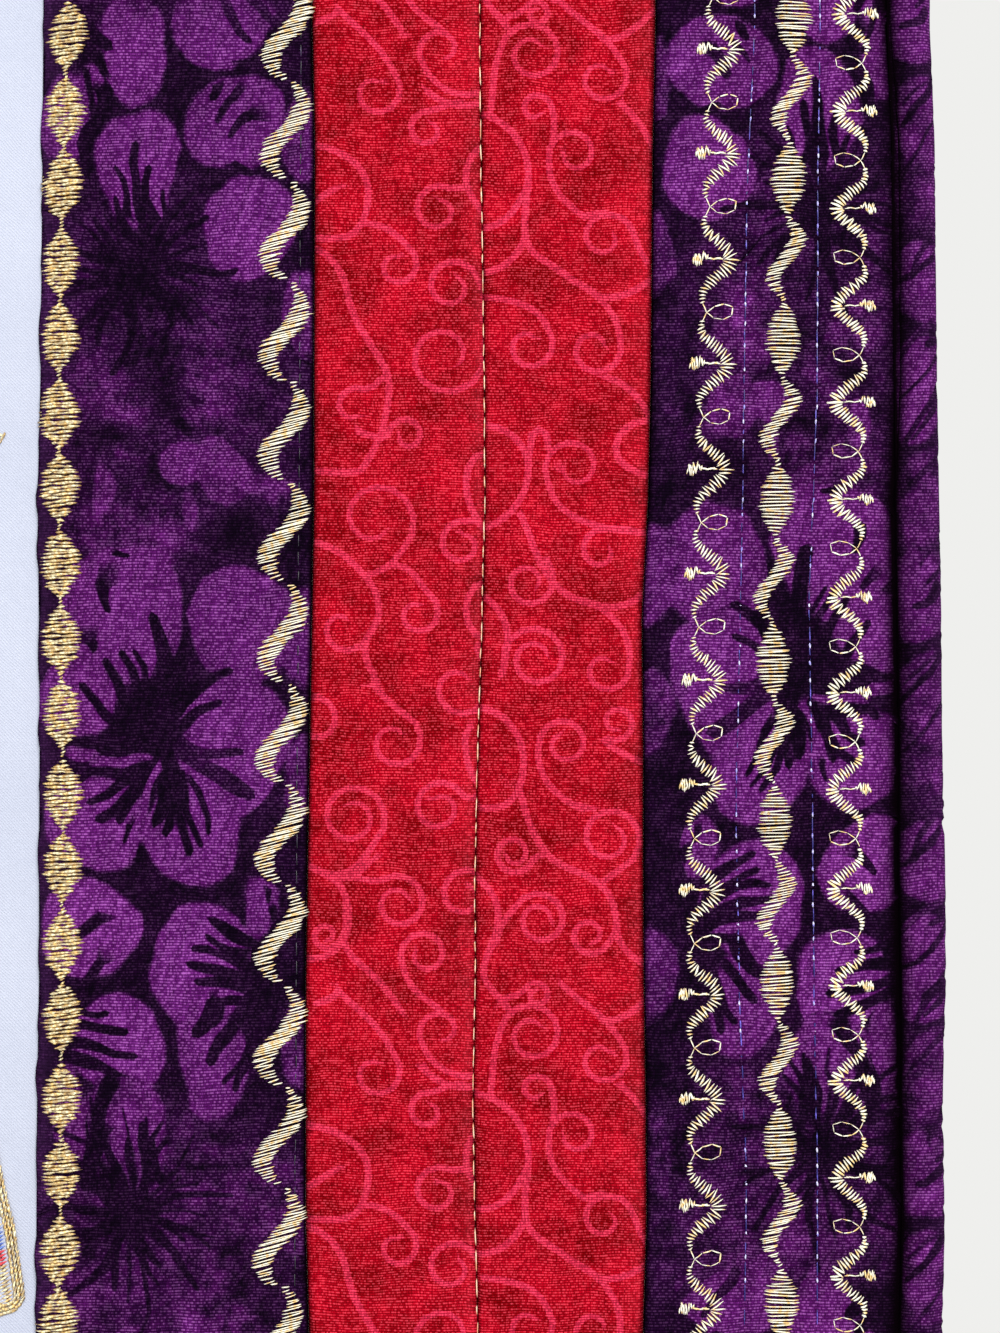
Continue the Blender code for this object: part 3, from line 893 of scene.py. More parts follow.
def thread_tree():
    """A thread along each edge: it comes out of the cloth, lies over it and goes in again."""
    tree = bpy.data.node_groups.new("sewn thread", "GeometryNodeTree")
    add_inputs(tree, [("Stitches", "Geometry", None), ("Sides", "Int", THREAD_SIDES),
                      ("Steps", "Int", 3), ("Thread", "Material", None)])
    tree.interface.new_socket("Threads", in_out="OUTPUT", socket_type="NodeSocketGeometry")
    net = Net(tree)
    given = net.node("NodeGroupInput").outputs

    def attribute(name, kind):
        node = net.node("GeometryNodeInputNamedAttribute", {"data_type": kind}, Name=name)
        return next(socket for socket in node.outputs if socket.enabled)

    laid = net.node("GeometryNodeMeshToCurve", Mesh=given["Stitches"]).outputs["Curve"]
    count = net.add(given["Steps"], 1.0)
    laid = net.node("GeometryNodeResampleCurve", Curve=laid, Count=count).outputs["Curve"]
    along = net.node("GeometryNodeSplineParameter").outputs["Factor"]
    ends = net.math("POWER", net.math("ABSOLUTE", net.line(along, 2.0, -1.0)), 4.0)
    body = net.less(1.0, ends)
    crowding = net.times(net.wave(along, 2.0 * math.pi), END_CROWDING)
    spread = net.vectors("SCALE", attribute("chord", "FLOAT_VECTOR"), 3, crowding)
    lifted = net.times(net.times(attribute("rise", "FLOAT"), body), -1.0)
    offset = net.vectors("ADD", spread, 1, net.vector(0.0, lifted))
    laid = net.node("GeometryNodeSetPosition", Geometry=laid, Offset=offset).outputs[0]
    laid = net.node("GeometryNodeStoreNamedAttribute", {"data_type": "FLOAT", "domain": "POINT"},
                    Geometry=laid, Name="tuck", Value=ends).outputs[0]
    thick = net.times(attribute("girth", "FLOAT"), net.line(body, MORE_GIRTH, END_GIRTH))
    outline = net.node("GeometryNodeCurvePrimitiveCircle", Resolution=given["Sides"], Radius=1.0)
    threads = net.node("GeometryNodeCurveToMesh", Curve=laid, Profile_Curve=outline.outputs[0],
                       Scale=thick, Fill_Caps=True).outputs[0]
    threads = net.node("GeometryNodeSetShadeSmooth", Geometry=threads).outputs[0]
    threads = net.node("GeometryNodeRealizeInstances", Geometry=threads).outputs[0]
    threads = net.node("GeometryNodeSetMaterial", Geometry=threads, Material=given["Thread"])
    net.join(net.node("NodeGroupOutput").inputs[0], threads.outputs[0])
    return tree


THREAD_TREE = thread_tree()


def sew(name, stitches, cloth_front, side, material, slot, seed, steps=3, facing=1.0):
    """One piece of thread work: every stitch lies on the cloth and dips in at both ends."""
    rows = np.array(stitches, float)
    out0, down0, out1, down1, girth, lift = rows.T
    depth0 = cloth_front(out0, down0)
    depth1 = cloth_front(out1, down1)
    needed = np.zeros(len(rows))
    for share in (0.2, 0.35, 0.5, 0.65, 0.8):
        under = cloth_front(out0 + (out1 - out0) * share, down0 + (down1 - down0) * share)
        needed = np.maximum(needed, depth0 + (depth1 - depth0) * share - under)
    starts = place(side * out0, depth0 + facing * NEEDLE_SINK, down0)
    ends = place(side * out1, depth1 + facing * NEEDLE_SINK, down1)
    corners = np.empty((2 * len(rows), 3))
    corners[0::2], corners[1::2] = starts, ends
    mesh = bpy.data.meshes.new(name + "_plan")
    mesh.from_pydata(corners.tolist(), [(2 * k, 2 * k + 1) for k in range(len(rows))], [])
    shade = np.random.default_rng(seed).uniform(0.0, 1.0, len(rows))
    rise = (needed + lift + NEEDLE_SINK) * facing * MM
    for attribute, values in (("rise", rise), ("girth", girth * MM), ("shade", shade)):
        measured(mesh, attribute, np.repeat(values, 2))
    chord = np.repeat(ends - starts, 2, axis=0)
    mesh.attributes.new("chord", "FLOAT_VECTOR", "POINT").data.foreach_set("vector", chord.ravel())
    plan = linked(name + "_plan", mesh)
    modifier = plan.modifiers.new("thread", "NODES")
    modifier.node_group = THREAD_TREE
    given = {"Sides": THREAD_SIDES, "Steps": steps, "Thread": material}
    for socket in THREAD_TREE.interface.items_tree:
        if socket.name in given:
            modifier[socket.identifier] = given[socket.name]
    evaluated = plan.evaluated_get(bpy.context.evaluated_depsgraph_get())
    threads = bpy.data.meshes.new_from_object(evaluated)
    plan.modifiers.remove(modifier)
    bpy.data.objects.remove(plan)
    bpy.data.meshes.remove(mesh)
    threads.name = name
    for spare in ("rise", "girth", "chord"):
        if spare in threads.attributes:
            threads.attributes.remove(threads.attributes[spare])
    finished(name, threads, material)


SEWN_FROM = 8.4
SEWN_TO = HEIGHT - SEWN_FROM
# Where each line of embroidery repeats: the height of one repeat's middle, and the repeat's length
REPEATS = {
    "lens_chain": (326.3, 10.88), "wave": (322.0, 14.43), "centre": (329.2, 23.11),
    "left_scroll": (331.7, 15.12), "right_scroll": (333.8, 13.95),
}


def repeats(line):
    phase, pitch = REPEATS[line]
    first = phase - pitch * math.floor((phase - SEWN_FROM) / pitch + 0.5)
    count = int((SEWN_TO - first) / pitch + 1.5)
    return [first + pitch * k for k in range(count)]


def lens_rows(rng, middle_down, half_width, height, row, girth, lift, slant):
    """Satin rows of a lens, each with its own small unevenness."""
    count = int(round(height / row))
    for k in range(count):
        share = (k + 0.5) / count
        half = half_width * math.sin(math.pi * share) ** 0.78 + 0.12
        down = middle_down + (share - 0.5) * height + rng.uniform(-0.11, 0.11)
        tilt = slant * half + rng.uniform(-0.15, 0.15)
        ragged = min(0.3, 0.2 * half)
        yield Stitch(-half - rng.uniform(-ragged, ragged), down + tilt,
                     half + rng.uniform(-ragged, ragged), down - tilt,
                     girth * rng.uniform(0.8, 1.15), lift + 0.18 * (half / half_width))


def on_line(line, side, stitches):
    """Moves stitches to a line as it wanders, without those that would run under a binding."""
    moved = []
    for s in stitches:
        base = float(stitch_line_at(line, (s.down + s.to_down) / 2, side))
        moved.append(Stitch(s.out + base, s.down, s.to_out + base, s.to_down, s.girth, s.lift))
    return [s for s in moved if SEWN_FROM < min(s.down, s.to_down) and max(s.down, s.to_down) < SEWN_TO]


def broken(row, rng):
    """A row of foil thread glints in pieces, as if it dipped once on its way."""
    share = rng.uniform(0.24, 0.76)
    across, down = row.to_out - row.out, row.to_down - row.down
    if across < 2.0:
        return [row]
    middle, level = row.out + share * across, row.down + share * down + rng.uniform(-0.1, 0.1)
    reach = rng.uniform(0.14, 0.3)
    return [
        row._replace(to_out=middle + reach, to_down=level + rng.uniform(-0.05, 0.05)),
        row._replace(out=middle - reach, down=level, girth=row.girth * rng.uniform(0.85, 1.1),
                     lift=row.lift * rng.uniform(0.7, 1.2)),
    ]


def lens_chain(side):
    """Fat lenses joined by short necks of single stitches."""
    rng = random.Random(11 + side)
    stitches = []
    for middle in repeats("lens_chain"):
        middle += rng.uniform(-0.4, 0.4)
        wide, slant = rng.uniform(2.6, 2.95), rng.uniform(0.0, 0.13)
        for row in lens_rows(rng, middle, wide, height=9.7, row=0.52, girth=0.385, lift=0.24,
                             slant=slant):
            stitches.extend(broken(row, rng))
        for k in range(3):
            down = middle + REPEATS["lens_chain"][1] / 2 - 0.5 + 0.5 * k
            reach = rng.uniform(0.16, 0.4)
            shift = rng.uniform(-0.15, 0.15)
            stitches.append(Stitch(shift - reach, down + 0.14, shift + reach, down - 0.14, 0.23, 0.2))
    return on_line("lens_chain", side, stitches)


# The serpentine satin line: height from its rightmost point, and its left and right edges there
WAVE_EDGES = [
    (-3.9, 0.75, 1.45), (-3.2, 0.95, 1.95), (-2.4, 1.15, 2.7), (-1.2, 1.2, 3.5), (0, 0.65, 3.95),
    (1.2, -0.2, 3.9), (2.4, -1.35, 3.4), (3.7, -2.8, 2.4), (4.9, -3.55, 1), (6.1, -3.9, -0.15),
    (7.35, -3.7, -0.8), (8.6, -2.9, -0.75), (9.5, -1.95, -0.3), (10.2, -0.75, 0.3), (10.53, 0.5, 1.2),
]
# The smaller satin S between two lenses of the centre line: height below the lens's middle
CENTRE_EDGES = [
    (5.4, -0.3, 0.35), (6.3, 0, 1.05), (7.2, 0.35, 2.1), (8.2, 0.4, 2.95), (9.2, 0, 3.1),
    (10.2, -0.65, 2.7), (11.2, -1.5, 1.9), (12.2, -2.35, 1), (13.3, -2.9, 0.1), (14.4, -2.95, -0.45),
    (15.4, -2.45, -0.6), (16.3, -1.6, -0.3), (17.2, -0.65, 0.1), (17.8, -0.25, 0.35),
]


def satin_rows(rng, phase, edges, row, girth, slant):
    """Rows between two edges that wander, in the zigzag of a satin stitch."""
    downs = [edge[0] for edge in edges]
    for k in range(int((downs[-1] - downs[0]) / row)):
        down = downs[0] + (k + 0.5) * row
        left = float(np.interp(down, downs, [edge[1] for edge in edges]))
        right = float(np.interp(down, downs, [edge[2] for edge in edges]))
        zigzag = 0.06 if k % 2 else -0.06
        tilt = slant * (right - left) / 2 + zigzag
        down += rng.uniform(-0.08, 0.08)
        yield Stitch(left + rng.uniform(-0.3, 0.22), phase + down + tilt + rng.uniform(-0.08, 0.08),
                     right + rng.uniform(-0.22, 0.3), phase + down - tilt + rng.uniform(-0.08, 0.08),
                     girth * rng.uniform(0.78, 1.16),
                     0.14 + 0.03 * (right - left) + rng.uniform(0.0, 0.12))


def wave_line(side):
    rng = random.Random(21 + side)
    stitches = []
    for phase in repeats("wave"):
        phase += rng.uniform(-0.2, 0.2)
        stitches.extend(satin_rows(rng, phase, WAVE_EDGES, row=0.43, girth=0.165, slant=0.26))
    return on_line("wave", side, stitches)


def centre_line(side):
    rng = random.Random(31 + side)
    stitches = []
    for middle in repeats("centre"):
        stitches.extend(lens_rows(rng, middle, half_width=2.5, height=10.4, row=0.47, girth=0.18,
                                  lift=0.2, slant=rng.uniform(-0.02, 0.05)))
        stitches.extend(satin_rows(rng, middle, CENTRE_EDGES, row=0.41, girth=0.16, slant=0.22))
    return on_line("centre", side, stitches)


# The scroll line: its middle line from the bud, and half the length of its stitches there
SCROLL_LINE = [
    (-0.43, -6, 0.35), (-0.62, -5.1, 0.5), (-0.2, -3.9, 0.75), (0.9, -3, 0.95), (2.1, -1.95, 1.08),
    (3.15, -0.9, 1.15), (3.6, 0.1, 1.2), (3.2, 1.15, 1.15), (2.1, 2.1, 1.08), (0.8, 3.2, 0.95),
    (-0.25, 4.35, 0.75), (-0.6, 5.4, 0.5), (-0.4, 6.3, 0.35),
]
SCROLL_LOOP = [
    (-0.4, 6.4), (0.2, 7.8), (0.75, 8.35), (1.75, 8.8), (3.1, 8.75), (4.1, 8), (4, 6.95), (2.9, 6.5),
    (1.6, 6.75), (0.6, 7.35), (0.1, 7.9), (-0.35, 9),
]
# The bud's stitches: how far out, and from which height to which
BUD = [
    (-1.9, -0.3, 0.75), (-1.62, -0.8, 1), (-1.28, -0.85, 1.15), (-0.92, -1, 0.95), (-0.56, -1.05, 0.6),
    (-0.2, -0.85, 0.3), (0.1, -0.5, 0.1), (-1.5, -0.9, 0.2), (-1.05, 0.1, 1),
]
# The bud's stem, in three stitches
BUD_STEM = [(2.6, 1.1, 0.1), (2.3, 0.5, -0.18), (1.2, -0.2, 0.1)]
SCROLL_HEIGHT = 15.12


def even_points(path, spacing):
    """Points at even distances along a path."""
    path = np.array(path, float)
    lengths = np.concatenate([[0.0], np.cumsum(np.linalg.norm(np.diff(path[:, :2], axis=0), axis=1))])
    count = max(int(round(lengths[-1] / spacing)), 1)
    steps = np.linspace(0.0, lengths[-1], count + 1)
    return np.stack([np.interp(steps, lengths, column) for column in path.T], axis=1)


def scroll_line(line, side, hand, seed):
    """Radial stitches round each bulge, a small bud on a stem in it, and an oval loop between."""
    rng = random.Random(seed + side)
    stretch = REPEATS[line][1] / SCROLL_HEIGHT
    stitches = []

    def lay(x, y, to_x, to_y, girth, lift):
        stitches.append(Stitch(hand * x, middle + stretch * y, hand * to_x, middle + stretch * to_y,
                               girth, lift))

    for middle in repeats(line):
        middle += rng.uniform(-0.2, 0.2)
        points = even_points(SCROLL_LINE, 0.53)
        ways = np.gradient(points[:, :2], axis=0)
        for number, ((x, y, half), way) in enumerate(zip(points, ways)):
            way = way / np.hypot(*way)
            lean = (0.0 if number % 2 else -0.2) + rng.uniform(-0.16, 0.16)
            out_x, out_y = way[1] + lean * way[0], -way[0] + lean * way[1]
            near, far = half * rng.uniform(0.72, 1.1), half * rng.uniform(0.82, 1.26)
            lay(x - out_x * near, y - out_y * near, x + out_x * far, y + out_y * far,
                rng.uniform(0.17, 0.22), rng.uniform(0.2, 0.42))
        loop = even_points(SCROLL_LOOP, 1.35)
        for (x, y), (to_x, to_y) in zip(loop, loop[1:]):
            over_x, over_y = 0.2 * (to_x - x), 0.2 * (to_y - y)
            lay(x - over_x, y - over_y, to_x + over_x, to_y + over_y, rng.uniform(0.095, 0.13), 0.16)
        for x, to_x, shift in BUD_STEM:
            lay(x, shift, to_x, -shift, 0.15, 0.18)
        for number, (x, top, bottom) in enumerate(BUD):
            lean = (0.16 if number % 2 else -0.1) + rng.uniform(-0.08, 0.08)
            lay(x - lean, top + rng.uniform(-0.16, 0.16), x + lean, bottom + rng.uniform(-0.16, 0.16),
                rng.uniform(0.15, 0.2), rng.uniform(0.2, 0.44))
    return on_line(line, side, stitches)


def straight_line(line, side, lengths, gaps, girth, lift, seed, position=stitch_line_at):
    """Straight machine stitches, one after the other, along a seam or a quilting line."""
    rng = random.Random(seed + side)
    stitches = []
    down = SEWN_FROM
    while down + lengths[1] < SEWN_TO:
        to_down = down + rng.uniform(*lengths)
        stitches.append(Stitch(float(position(line, down, side)) + rng.uniform(-0.07, 0.07), down,
                               float(position(line, to_down, side)) + rng.uniform(-0.07, 0.07), to_down,
                               girth * rng.uniform(0.85, 1.15), lift * rng.uniform(0.7, 1.3)))
        down = to_down + rng.uniform(*gaps)
    return stitches


# The motif on the white panel: a plain repeat of flowers and leaves, outlined in gold rope stitch

def rope(path, rng, spacing=1.25, girth=0.25):
    """Short slanted satin stitches that overlap along a path."""
    points = even_points(path, spacing)
    ways = np.gradient(points, axis=0)
    stitches = []
    for (x, y), way in zip(points, ways):
        way = way / max(np.hypot(*way), 1e-9)
        along, across = rng.uniform(0.68, 0.9), rng.uniform(0.14, 0.34)
        lean_x, lean_y = way[0] * along - way[1] * across, way[1] * along + way[0] * across
        wide = girth * rng.uniform(0.85, 1.15)
        stitches.append(Stitch(x - lean_x, y - lean_y, x + lean_x, y + lean_y, wide,
                               rng.uniform(0.25, 0.4)))
    return stitches


def crossings(outline, down):
    """Where a level line crosses a closed outline, in order."""
    found = []
    for (x, y), (to_x, to_y) in zip(outline, np.roll(outline, -1, axis=0)):
        if (y <= down) != (to_y <= down):
            found.append(x + (down - y) / (to_y - y) * (to_x - x))
    return sorted(found)


def satin_fill(outline, degrees, pitch, longest, girth, rng, inset=0.15):
    """Rows of satin across a closed shape, long ones broken in brick order."""
    way = heading(degrees)
    turn = np.array([[way[0], way[1]], [-way[1], way[0]]])
    turned = np.array(outline) @ turn.T
    stitches = []
    down = turned[:, 1].min() + pitch / 2
    number = 0
    while down < turned[:, 1].max():
        ends = crossings(turned, down)
        for start, stop in zip(ends[::2], ends[1::2]):
            start, stop = start + inset, stop - inset
            if stop - start < 0.5:
                continue
            parts = max(int(math.ceil((stop - start) / longest)), 1)
            cuts = [start]
            for k in range(1, parts):
                cuts.append(start + (stop - start) * k / parts + (number % 3 - 1) * longest * 0.16)
            cuts.append(stop)
            for a, b in zip(cuts, cuts[1:]):
                first = np.array([a, down + rng.uniform(-0.04, 0.04)]) @ turn
                last = np.array([b, down + rng.uniform(-0.04, 0.04)]) @ turn
                stitches.append(Stitch(*first, *last, girth * rng.uniform(0.92, 1.1),
                                       0.1 + 0.015 * (b - a)))
        down += pitch
        number += 1
    return stitches


def leaf_outline(base, tip, bulge, curve=0.0, points=18, blunt=0.9):
    """A pointed leaf from its base to its tip, bent sideways by a share of its length."""
    base, tip = np.array(base, float), np.array(tip, float)
    length = np.linalg.norm(tip - base)
    way = (tip - base) / length
    side = np.array([-way[1], way[0]])
    share = np.linspace(0.0, 1.0, points)[:, None]
    spine = base + (tip - base) * share + side * curve * length * np.sin(np.pi * share)
    half = side * bulge * np.sin(np.pi * share**0.85) ** blunt
    return np.concatenate([spine + half, (spine - half)[::-1][1:-1]])


def closed(outline):
    return np.concatenate([outline, outline[:1]])


def round_outline(x, y, radius, points=28):
    angle = np.linspace(0.0, 2 * np.pi, points, endpoint=False)
    return np.stack([x + radius * np.cos(angle), y + radius * np.sin(angle)], axis=1)


# Two side leaves whose tips reach the inner bands, on the right of the panel
CORNER_LEAF = [
    (62, 380), (70, 372.5), (82, 369.5), (94, 370.5), (105, 376), (113, 385.5), (117.4, 396.5),
    (119, 403.9), (120.7, 411.1), (121.6, 417.6), (122.1, 421), (120.6, 422.5), (118, 423.3),
    (108, 423.6), (94, 420.5), (81, 412.5), (70.5, 401), (64, 390),
]
ROSETTES = [(0, 168), (0, 330), (0, 492)]
# The motif's satin: how far apart its rows are, its longest stitch and its girth
SATIN = (0.66, 7.0, 0.34)
# The plain leaves: base, tip, bulge and curve
LEAVES = [
    ((34, 214), (88, 160), 9, 0.12), ((36, 232), (104, 226), 9.5, -0.1),
    ((46, 312), (119.4, 296.6), 8.6, 0.14), ((34, 444), (96, 470), 9.5, 0.12),
    ((26, 118), (78, 78), 8.6, 0.12), ((24, 542), (80, 584), 8.6, -0.12),
]
# The stems: where each starts and heads, and where it ends and heads
STEMS = [
    ((0, 214), 90, (0, 286), 90), ((0, 376), 90, (0, 446), 90), ((0, 222), 0, (36, 232), 20),
    ((0, 228), -20, (34, 214), -40), ((0, 260), 60, (46, 312), 20), ((0, 392), -20, (62, 384), -10),
    ((0, 430), 20, (34, 444), 20), ((0, 124), -60, (26, 118), -30), ((0, 536), 60, (24, 542), 30),
]


def satin_leaf(threads, name, leaf, inner, way, slant, rng):
    """A leaf of satin rows at a slant to its way, with a rope edge."""
    degrees = math.degrees(math.atan2(way[1], way[0])) + slant
    threads[name].extend(satin_fill(inner, degrees, *SATIN, rng))
    threads["gold"].extend(rope(closed(leaf), rng))


def motif():
    """Every thread of the motif's right half, by colour; the left half mirrors it."""
    rng = random.Random(77)
    threads = {"gold": [], "pale": [], "red": [], "blue": []}
    for x, y in ROSETTES:
        middle = np.array([x, y])
        for number in range(8):
            way = heading(22.5 + 45.0 * number)
            if way[0] < 0.0:
                continue
            petal = leaf_outline(middle + 11.0 * way, middle + 44.0 * way, 8.6)
            inner = leaf_outline(middle + 14.0 * way, middle + 38.0 * way, 5.4)
            satin_leaf(threads, ("blue", "red")[number % 2], petal, inner, way, 70.0, rng)
        half_disc = [point for point in round_outline(x, y, 9.0) if point[0] > -0.01]
        threads["pale"].extend(satin_fill(half_disc, 20.0, pitch=0.64, longest=2.6, girth=0.33, rng=rng))
        ring = round_outline(x, y, 9.6)
        threads["gold"].extend(rope(np.concatenate([ring[21:], ring[:8]]), rng))
    for number, (base, tip, bulge, curve) in enumerate(LEAVES):
        leaf = leaf_outline(base, tip, bulge, curve, blunt=0.7)
        base, tip = np.array(base), np.array(tip)
        inner = leaf_outline(base * 0.9 + tip * 0.1, base * 0.1 + tip * 0.9, bulge * 0.62, curve)
        satin_leaf(threads, ("red", "blue", "pale")[number % 3], leaf, inner, tip - base, 60.0, rng)
    banded_leaf(threads, np.array(CORNER_LEAF), rng)
    for start, way, end, to_way in STEMS:
        threads["gold"].extend(rope(bridge(start, heading(way), end, heading(to_way), 2.0), rng))
    return threads


# The colours of the corner leaf's bands, each with the height at which it ends
LEAF_BANDS = [
    (386.0, "pale"), (390.0, "blue"), (397.0, "gold"), (402.6, "red"), (405.6, "gold"), (411.0, "pale"),
    (413.3, "blue"), (416.2, "red"), (440.0, "gold"),
]


def banded_leaf(threads, outline, rng):
    """A leaf with a wide rope edge and bands of different colours across it."""
    edge = even_points(closed(outline), 1.5)
    for inset in (0.0, 0.55, 1.1):
        threads["gold"].extend(rope(beside(edge, inset), rng, spacing=0.95, girth=0.29))
    for stitch in satin_fill(beside(edge, 1.3), -24.0, pitch=0.52, longest=2.2, girth=0.33, rng=rng):
        level = (stitch.down + stitch.to_down) / 2 + rng.uniform(-0.5, 0.5)
        threads[next(name for ends, name in LEAF_BANDS if level < ends)].append(stitch)


# Finishes

def shader_group(name, inputs, outputs):
    """A group of shader nodes: its net, what it is given and where its measures go out."""
    tree = bpy.data.node_groups.new(name, "ShaderNodeTree")
    add_inputs(tree, [(label, "Float", value) for label, value in inputs.items()])
    for label in outputs:
        tree.interface.new_socket(label, in_out="OUTPUT", socket_type="NodeSocketFloat")
    net = Net(tree)
    return net, net.node("NodeGroupInput").outputs, net.node("NodeGroupOutput")


def cloth_plan(net):
    """Millimetres across and down the cloth."""
    plan = net.node("ShaderNodeUVMap", {"uv_map": "cloth"}).outputs["UV"]
    split = net.node("ShaderNodeSeparateXYZ", Vector=plan).outputs
    return plan, split["X"], split["Y"]


def noise(net, vector, scale, detail=2.0, roughness=0.5):
    made = net.node("ShaderNodeTexNoise", Vector=vector, Scale=scale, Detail=detail, Roughness=roughness)
    return made.outputs["Fac"]


def measure_of(net, name):
    return net.node("ShaderNodeAttribute", {"attribute_name": name}).outputs["Fac"]


def plain_weave_group():
    """Threads that cross over and under: their height, and how the light falls on them."""
    net, given, out = shader_group("plain weave", {"Weft pitch": 0.35, "Warp pitch": 0.38, "Slub": 0.4},
                                   ["Height", "Shade"])
    plan, across, down = cloth_plan(net)
    bend = net.line(noise(net, plan, 0.12, 1.0), 1.2, -0.6)
    rows = net.over(net.add(down, bend), given["Weft pitch"])
    columns = net.over(net.add(across, bend), given["Warp pitch"])
    weft = net.math("ABSOLUTE", net.wave(rows, math.pi))
    warp = net.math("ABSOLUTE", net.wave(columns, math.pi))
    row = net.floor(rows)
    parity = net.math("PINGPONG", net.add(row, net.floor(columns)), 1.0)
    height = net.math("MAXIMUM", net.times(weft, net.line(parity, 0.5, 0.5)),
                      net.times(warp, net.line(parity, -0.45, 0.7)))
    slubs = noise(net, net.vector(net.times(across, 0.22), net.over(row, 1.3)), 1.0, 1.0)
    height = net.add(height, net.times(net.line(slubs, 2.0, -1.0), given["Slub"]))
    # Painted glints along the tops of the weft rows, uneven in strength from crossing to crossing
    crossing = net.vector(net.floor(net.times(columns, 1.7)), row)
    chance = net.node("ShaderNodeTexWhiteNoise", {"noise_dimensions": "2D"}, Vector=crossing)
    glints_and_unevenness = net.line(net.times(chance.outputs["Value"], weft), 0.62, 0.12)
    net.fill(out, Height=height, Shade=net.line(height, 0.5, glints_and_unevenness, clamp=True))
    return net.tree


def satin_weave_group():
    """A satin weave: fine diagonal ribs, with painted shade that follows their height."""
    net, given, out = shader_group("satin weave", {"Rib pitch": 0.46}, ["Height", "Shade"])
    plan, across, down = cloth_plan(net)
    bend = net.line(noise(net, plan, 0.2, 1.0), 0.8, -0.4)
    diagonal = net.add(net.less(across, down), bend)
    rib = net.line(net.wave(net.over(diagonal, given["Rib pitch"]), 2 * math.pi), 0.5, 0.5)
    height = net.add(rib, net.line(net.wave(down, 2 * math.pi / 0.21), 0.25, 0.25))
    net.fill(out, Height=height, Shade=net.times(height, 0.66, clamp=True))
    return net.tree


def mottling_group():
    """Uneven dye: clouds, smaller patches, fine specks and streaks, each about 0 in the mean."""
    net, given, out = shader_group("dye mottling", {"Cloud size": 14.0, "Speck size": 0.7},
                                   ["Clouds", "Patches", "Specks", "Streaks"])
    plan, across, down = cloth_plan(net)
    drawn_out = net.vector(net.line(down, 0.35, net.times(across, 0.94)),
                           net.line(down, 0.17, net.times(across, -0.06)))
    streaks = noise(net, drawn_out, net.over(0.8, given["Speck size"]), 3.0, 0.6)
    clouds, patches, specks = (
        net.line(noise(net, plan, net.over(1.0, size), detail, 0.6), 2.0, -1.0)
        for size, detail in ((given["Cloud size"], 3.0), (net.over(given["Cloud size"], 4.5), 3.0),
                             (given["Speck size"], 2.0))
    )
    net.fill(out, Clouds=clouds, Patches=patches, Specks=specks, Streaks=net.line(streaks, 4.0, -2.0))
    return net.tree


def ridge_highlight_group():
    """A painted highlight in patches along the raised folds and ridges, where they catch the light, from
    the cloth's own ridge measure.
    """
    net, given, out = shader_group("painted ridge highlight", {"Amount": 1.0}, ["Worn"])
    patchy = net.line(noise(net, cloth_plan(net)[0], 1.4, 3.0, 0.6), 1.6, -0.3)
    lit_ridge = net.times(measure_of(net, "ridge"), patchy)
    net.fill(out, Worn=net.times(lit_ridge, given["Amount"], clamp=True))
    return net.tree


def thread_group():
    """Thread: its own random tone, painted glints along it and the grains that break them up, and how
    near it is to its ends, where painted shade darkens it as it dips into the cloth.
    """
    net, given, out = shader_group("thread lustre",
                                   {"Fleck size": 0.5, "Fleck contrast": 1.0, "Fleck level": 0.5},
                                   ["Fleck", "Shade", "Tuck", "Grain", "Grain edge"])
    spot = net.node("ShaderNodeTexCoord").outputs["Object"]
    per_metre = net.over(1000.0, given["Fleck size"])
    glints = net.less(noise(net, spot, per_metre, 1.0, 0.5), given["Fleck level"])
    glints = net.line(net.times(glints, given["Fleck contrast"]), 3.0, 0.5, clamp=True)
    grains = net.node("ShaderNodeTexVoronoi", Vector=spot, Scale=per_metre).outputs
    grain = net.node("ShaderNodeSeparateColor", Color=grains["Color"]).outputs["Red"]
    net.fill(out, Fleck=glints, Shade=measure_of(net, "shade"), Grain=grain,
             Tuck=net.math("POWER", measure_of(net, "tuck"), 4.0),
             Grain_edge=net.line(grains["Distance"], 5.0, -1.8, clamp=True))
    return net.tree


PLAIN_WEAVE = plain_weave_group()
SATIN_WEAVE = satin_weave_group()
MOTTLING = mottling_group()
RIDGE_HIGHLIGHT = ridge_highlight_group()
LUSTRE = thread_group()


def colour(red, green, blue):
    """A colour as eyes and screens name it, 0 to 255, in the render's own light values."""
    return tuple(linear(part / 255.0) for part in (red, green, blue)) + (1.0,)


def linear(part):
    return part / 12.92 if part <= 0.04045 else ((part + 0.055) / 1.055) ** 2.4


class Finish(Net):
    """A material with its own shader."""

    def __init__(self, name, tint, roughness):
        self.material = bpy.data.materials.new(name)
        self.material.use_nodes = True
        self.material.diffuse_color = (*tint, 1.0)
        super().__init__(self.material.node_tree)
        self.shader = self.tree.nodes["Principled BSDF"]
        self.shader.inputs["Roughness"].default_value = roughness

    def group(self, tree, **values):
        return self.node("ShaderNodeGroup", {"node_tree": tree}, **values).outputs

    def done(self, base, specular=None):
        self.fill(self.shader, Base_Color=base)
        if specular is not None:
            self.shader.inputs["Specular IOR Level"].default_value = specular
        return self.material

    def bump(self, height, distance, strength):
        bump = self.node("ShaderNodeBump", Strength=strength, Distance=distance * MM, Height=height)
        self.fill(self.shader, Normal=bump.outputs[0])


def white_cotton():
    net = Finish("white satin-weave cotton", (0.8, 0.83, 0.92), 0.7)
    weave = net.group(SATIN_WEAVE, Rib_pitch=0.52)
    clouds = net.group(MOTTLING, Cloud_size=38.0, Speck_size=1.1)
    base = net.mix(weave["Shade"], colour(174, 180, 199), colour(198, 202, 217))
    tone = net.line(clouds["Clouds"], 0.5, 0.18, clamp=True)
    tone = net.line(clouds["Specks"], 0.24, tone, clamp=True)
    net.bump(weave["Height"], 0.06, 0.7)
    return net.done(net.mix(tone, base, colour(169, 175, 194)), specular=0.15)


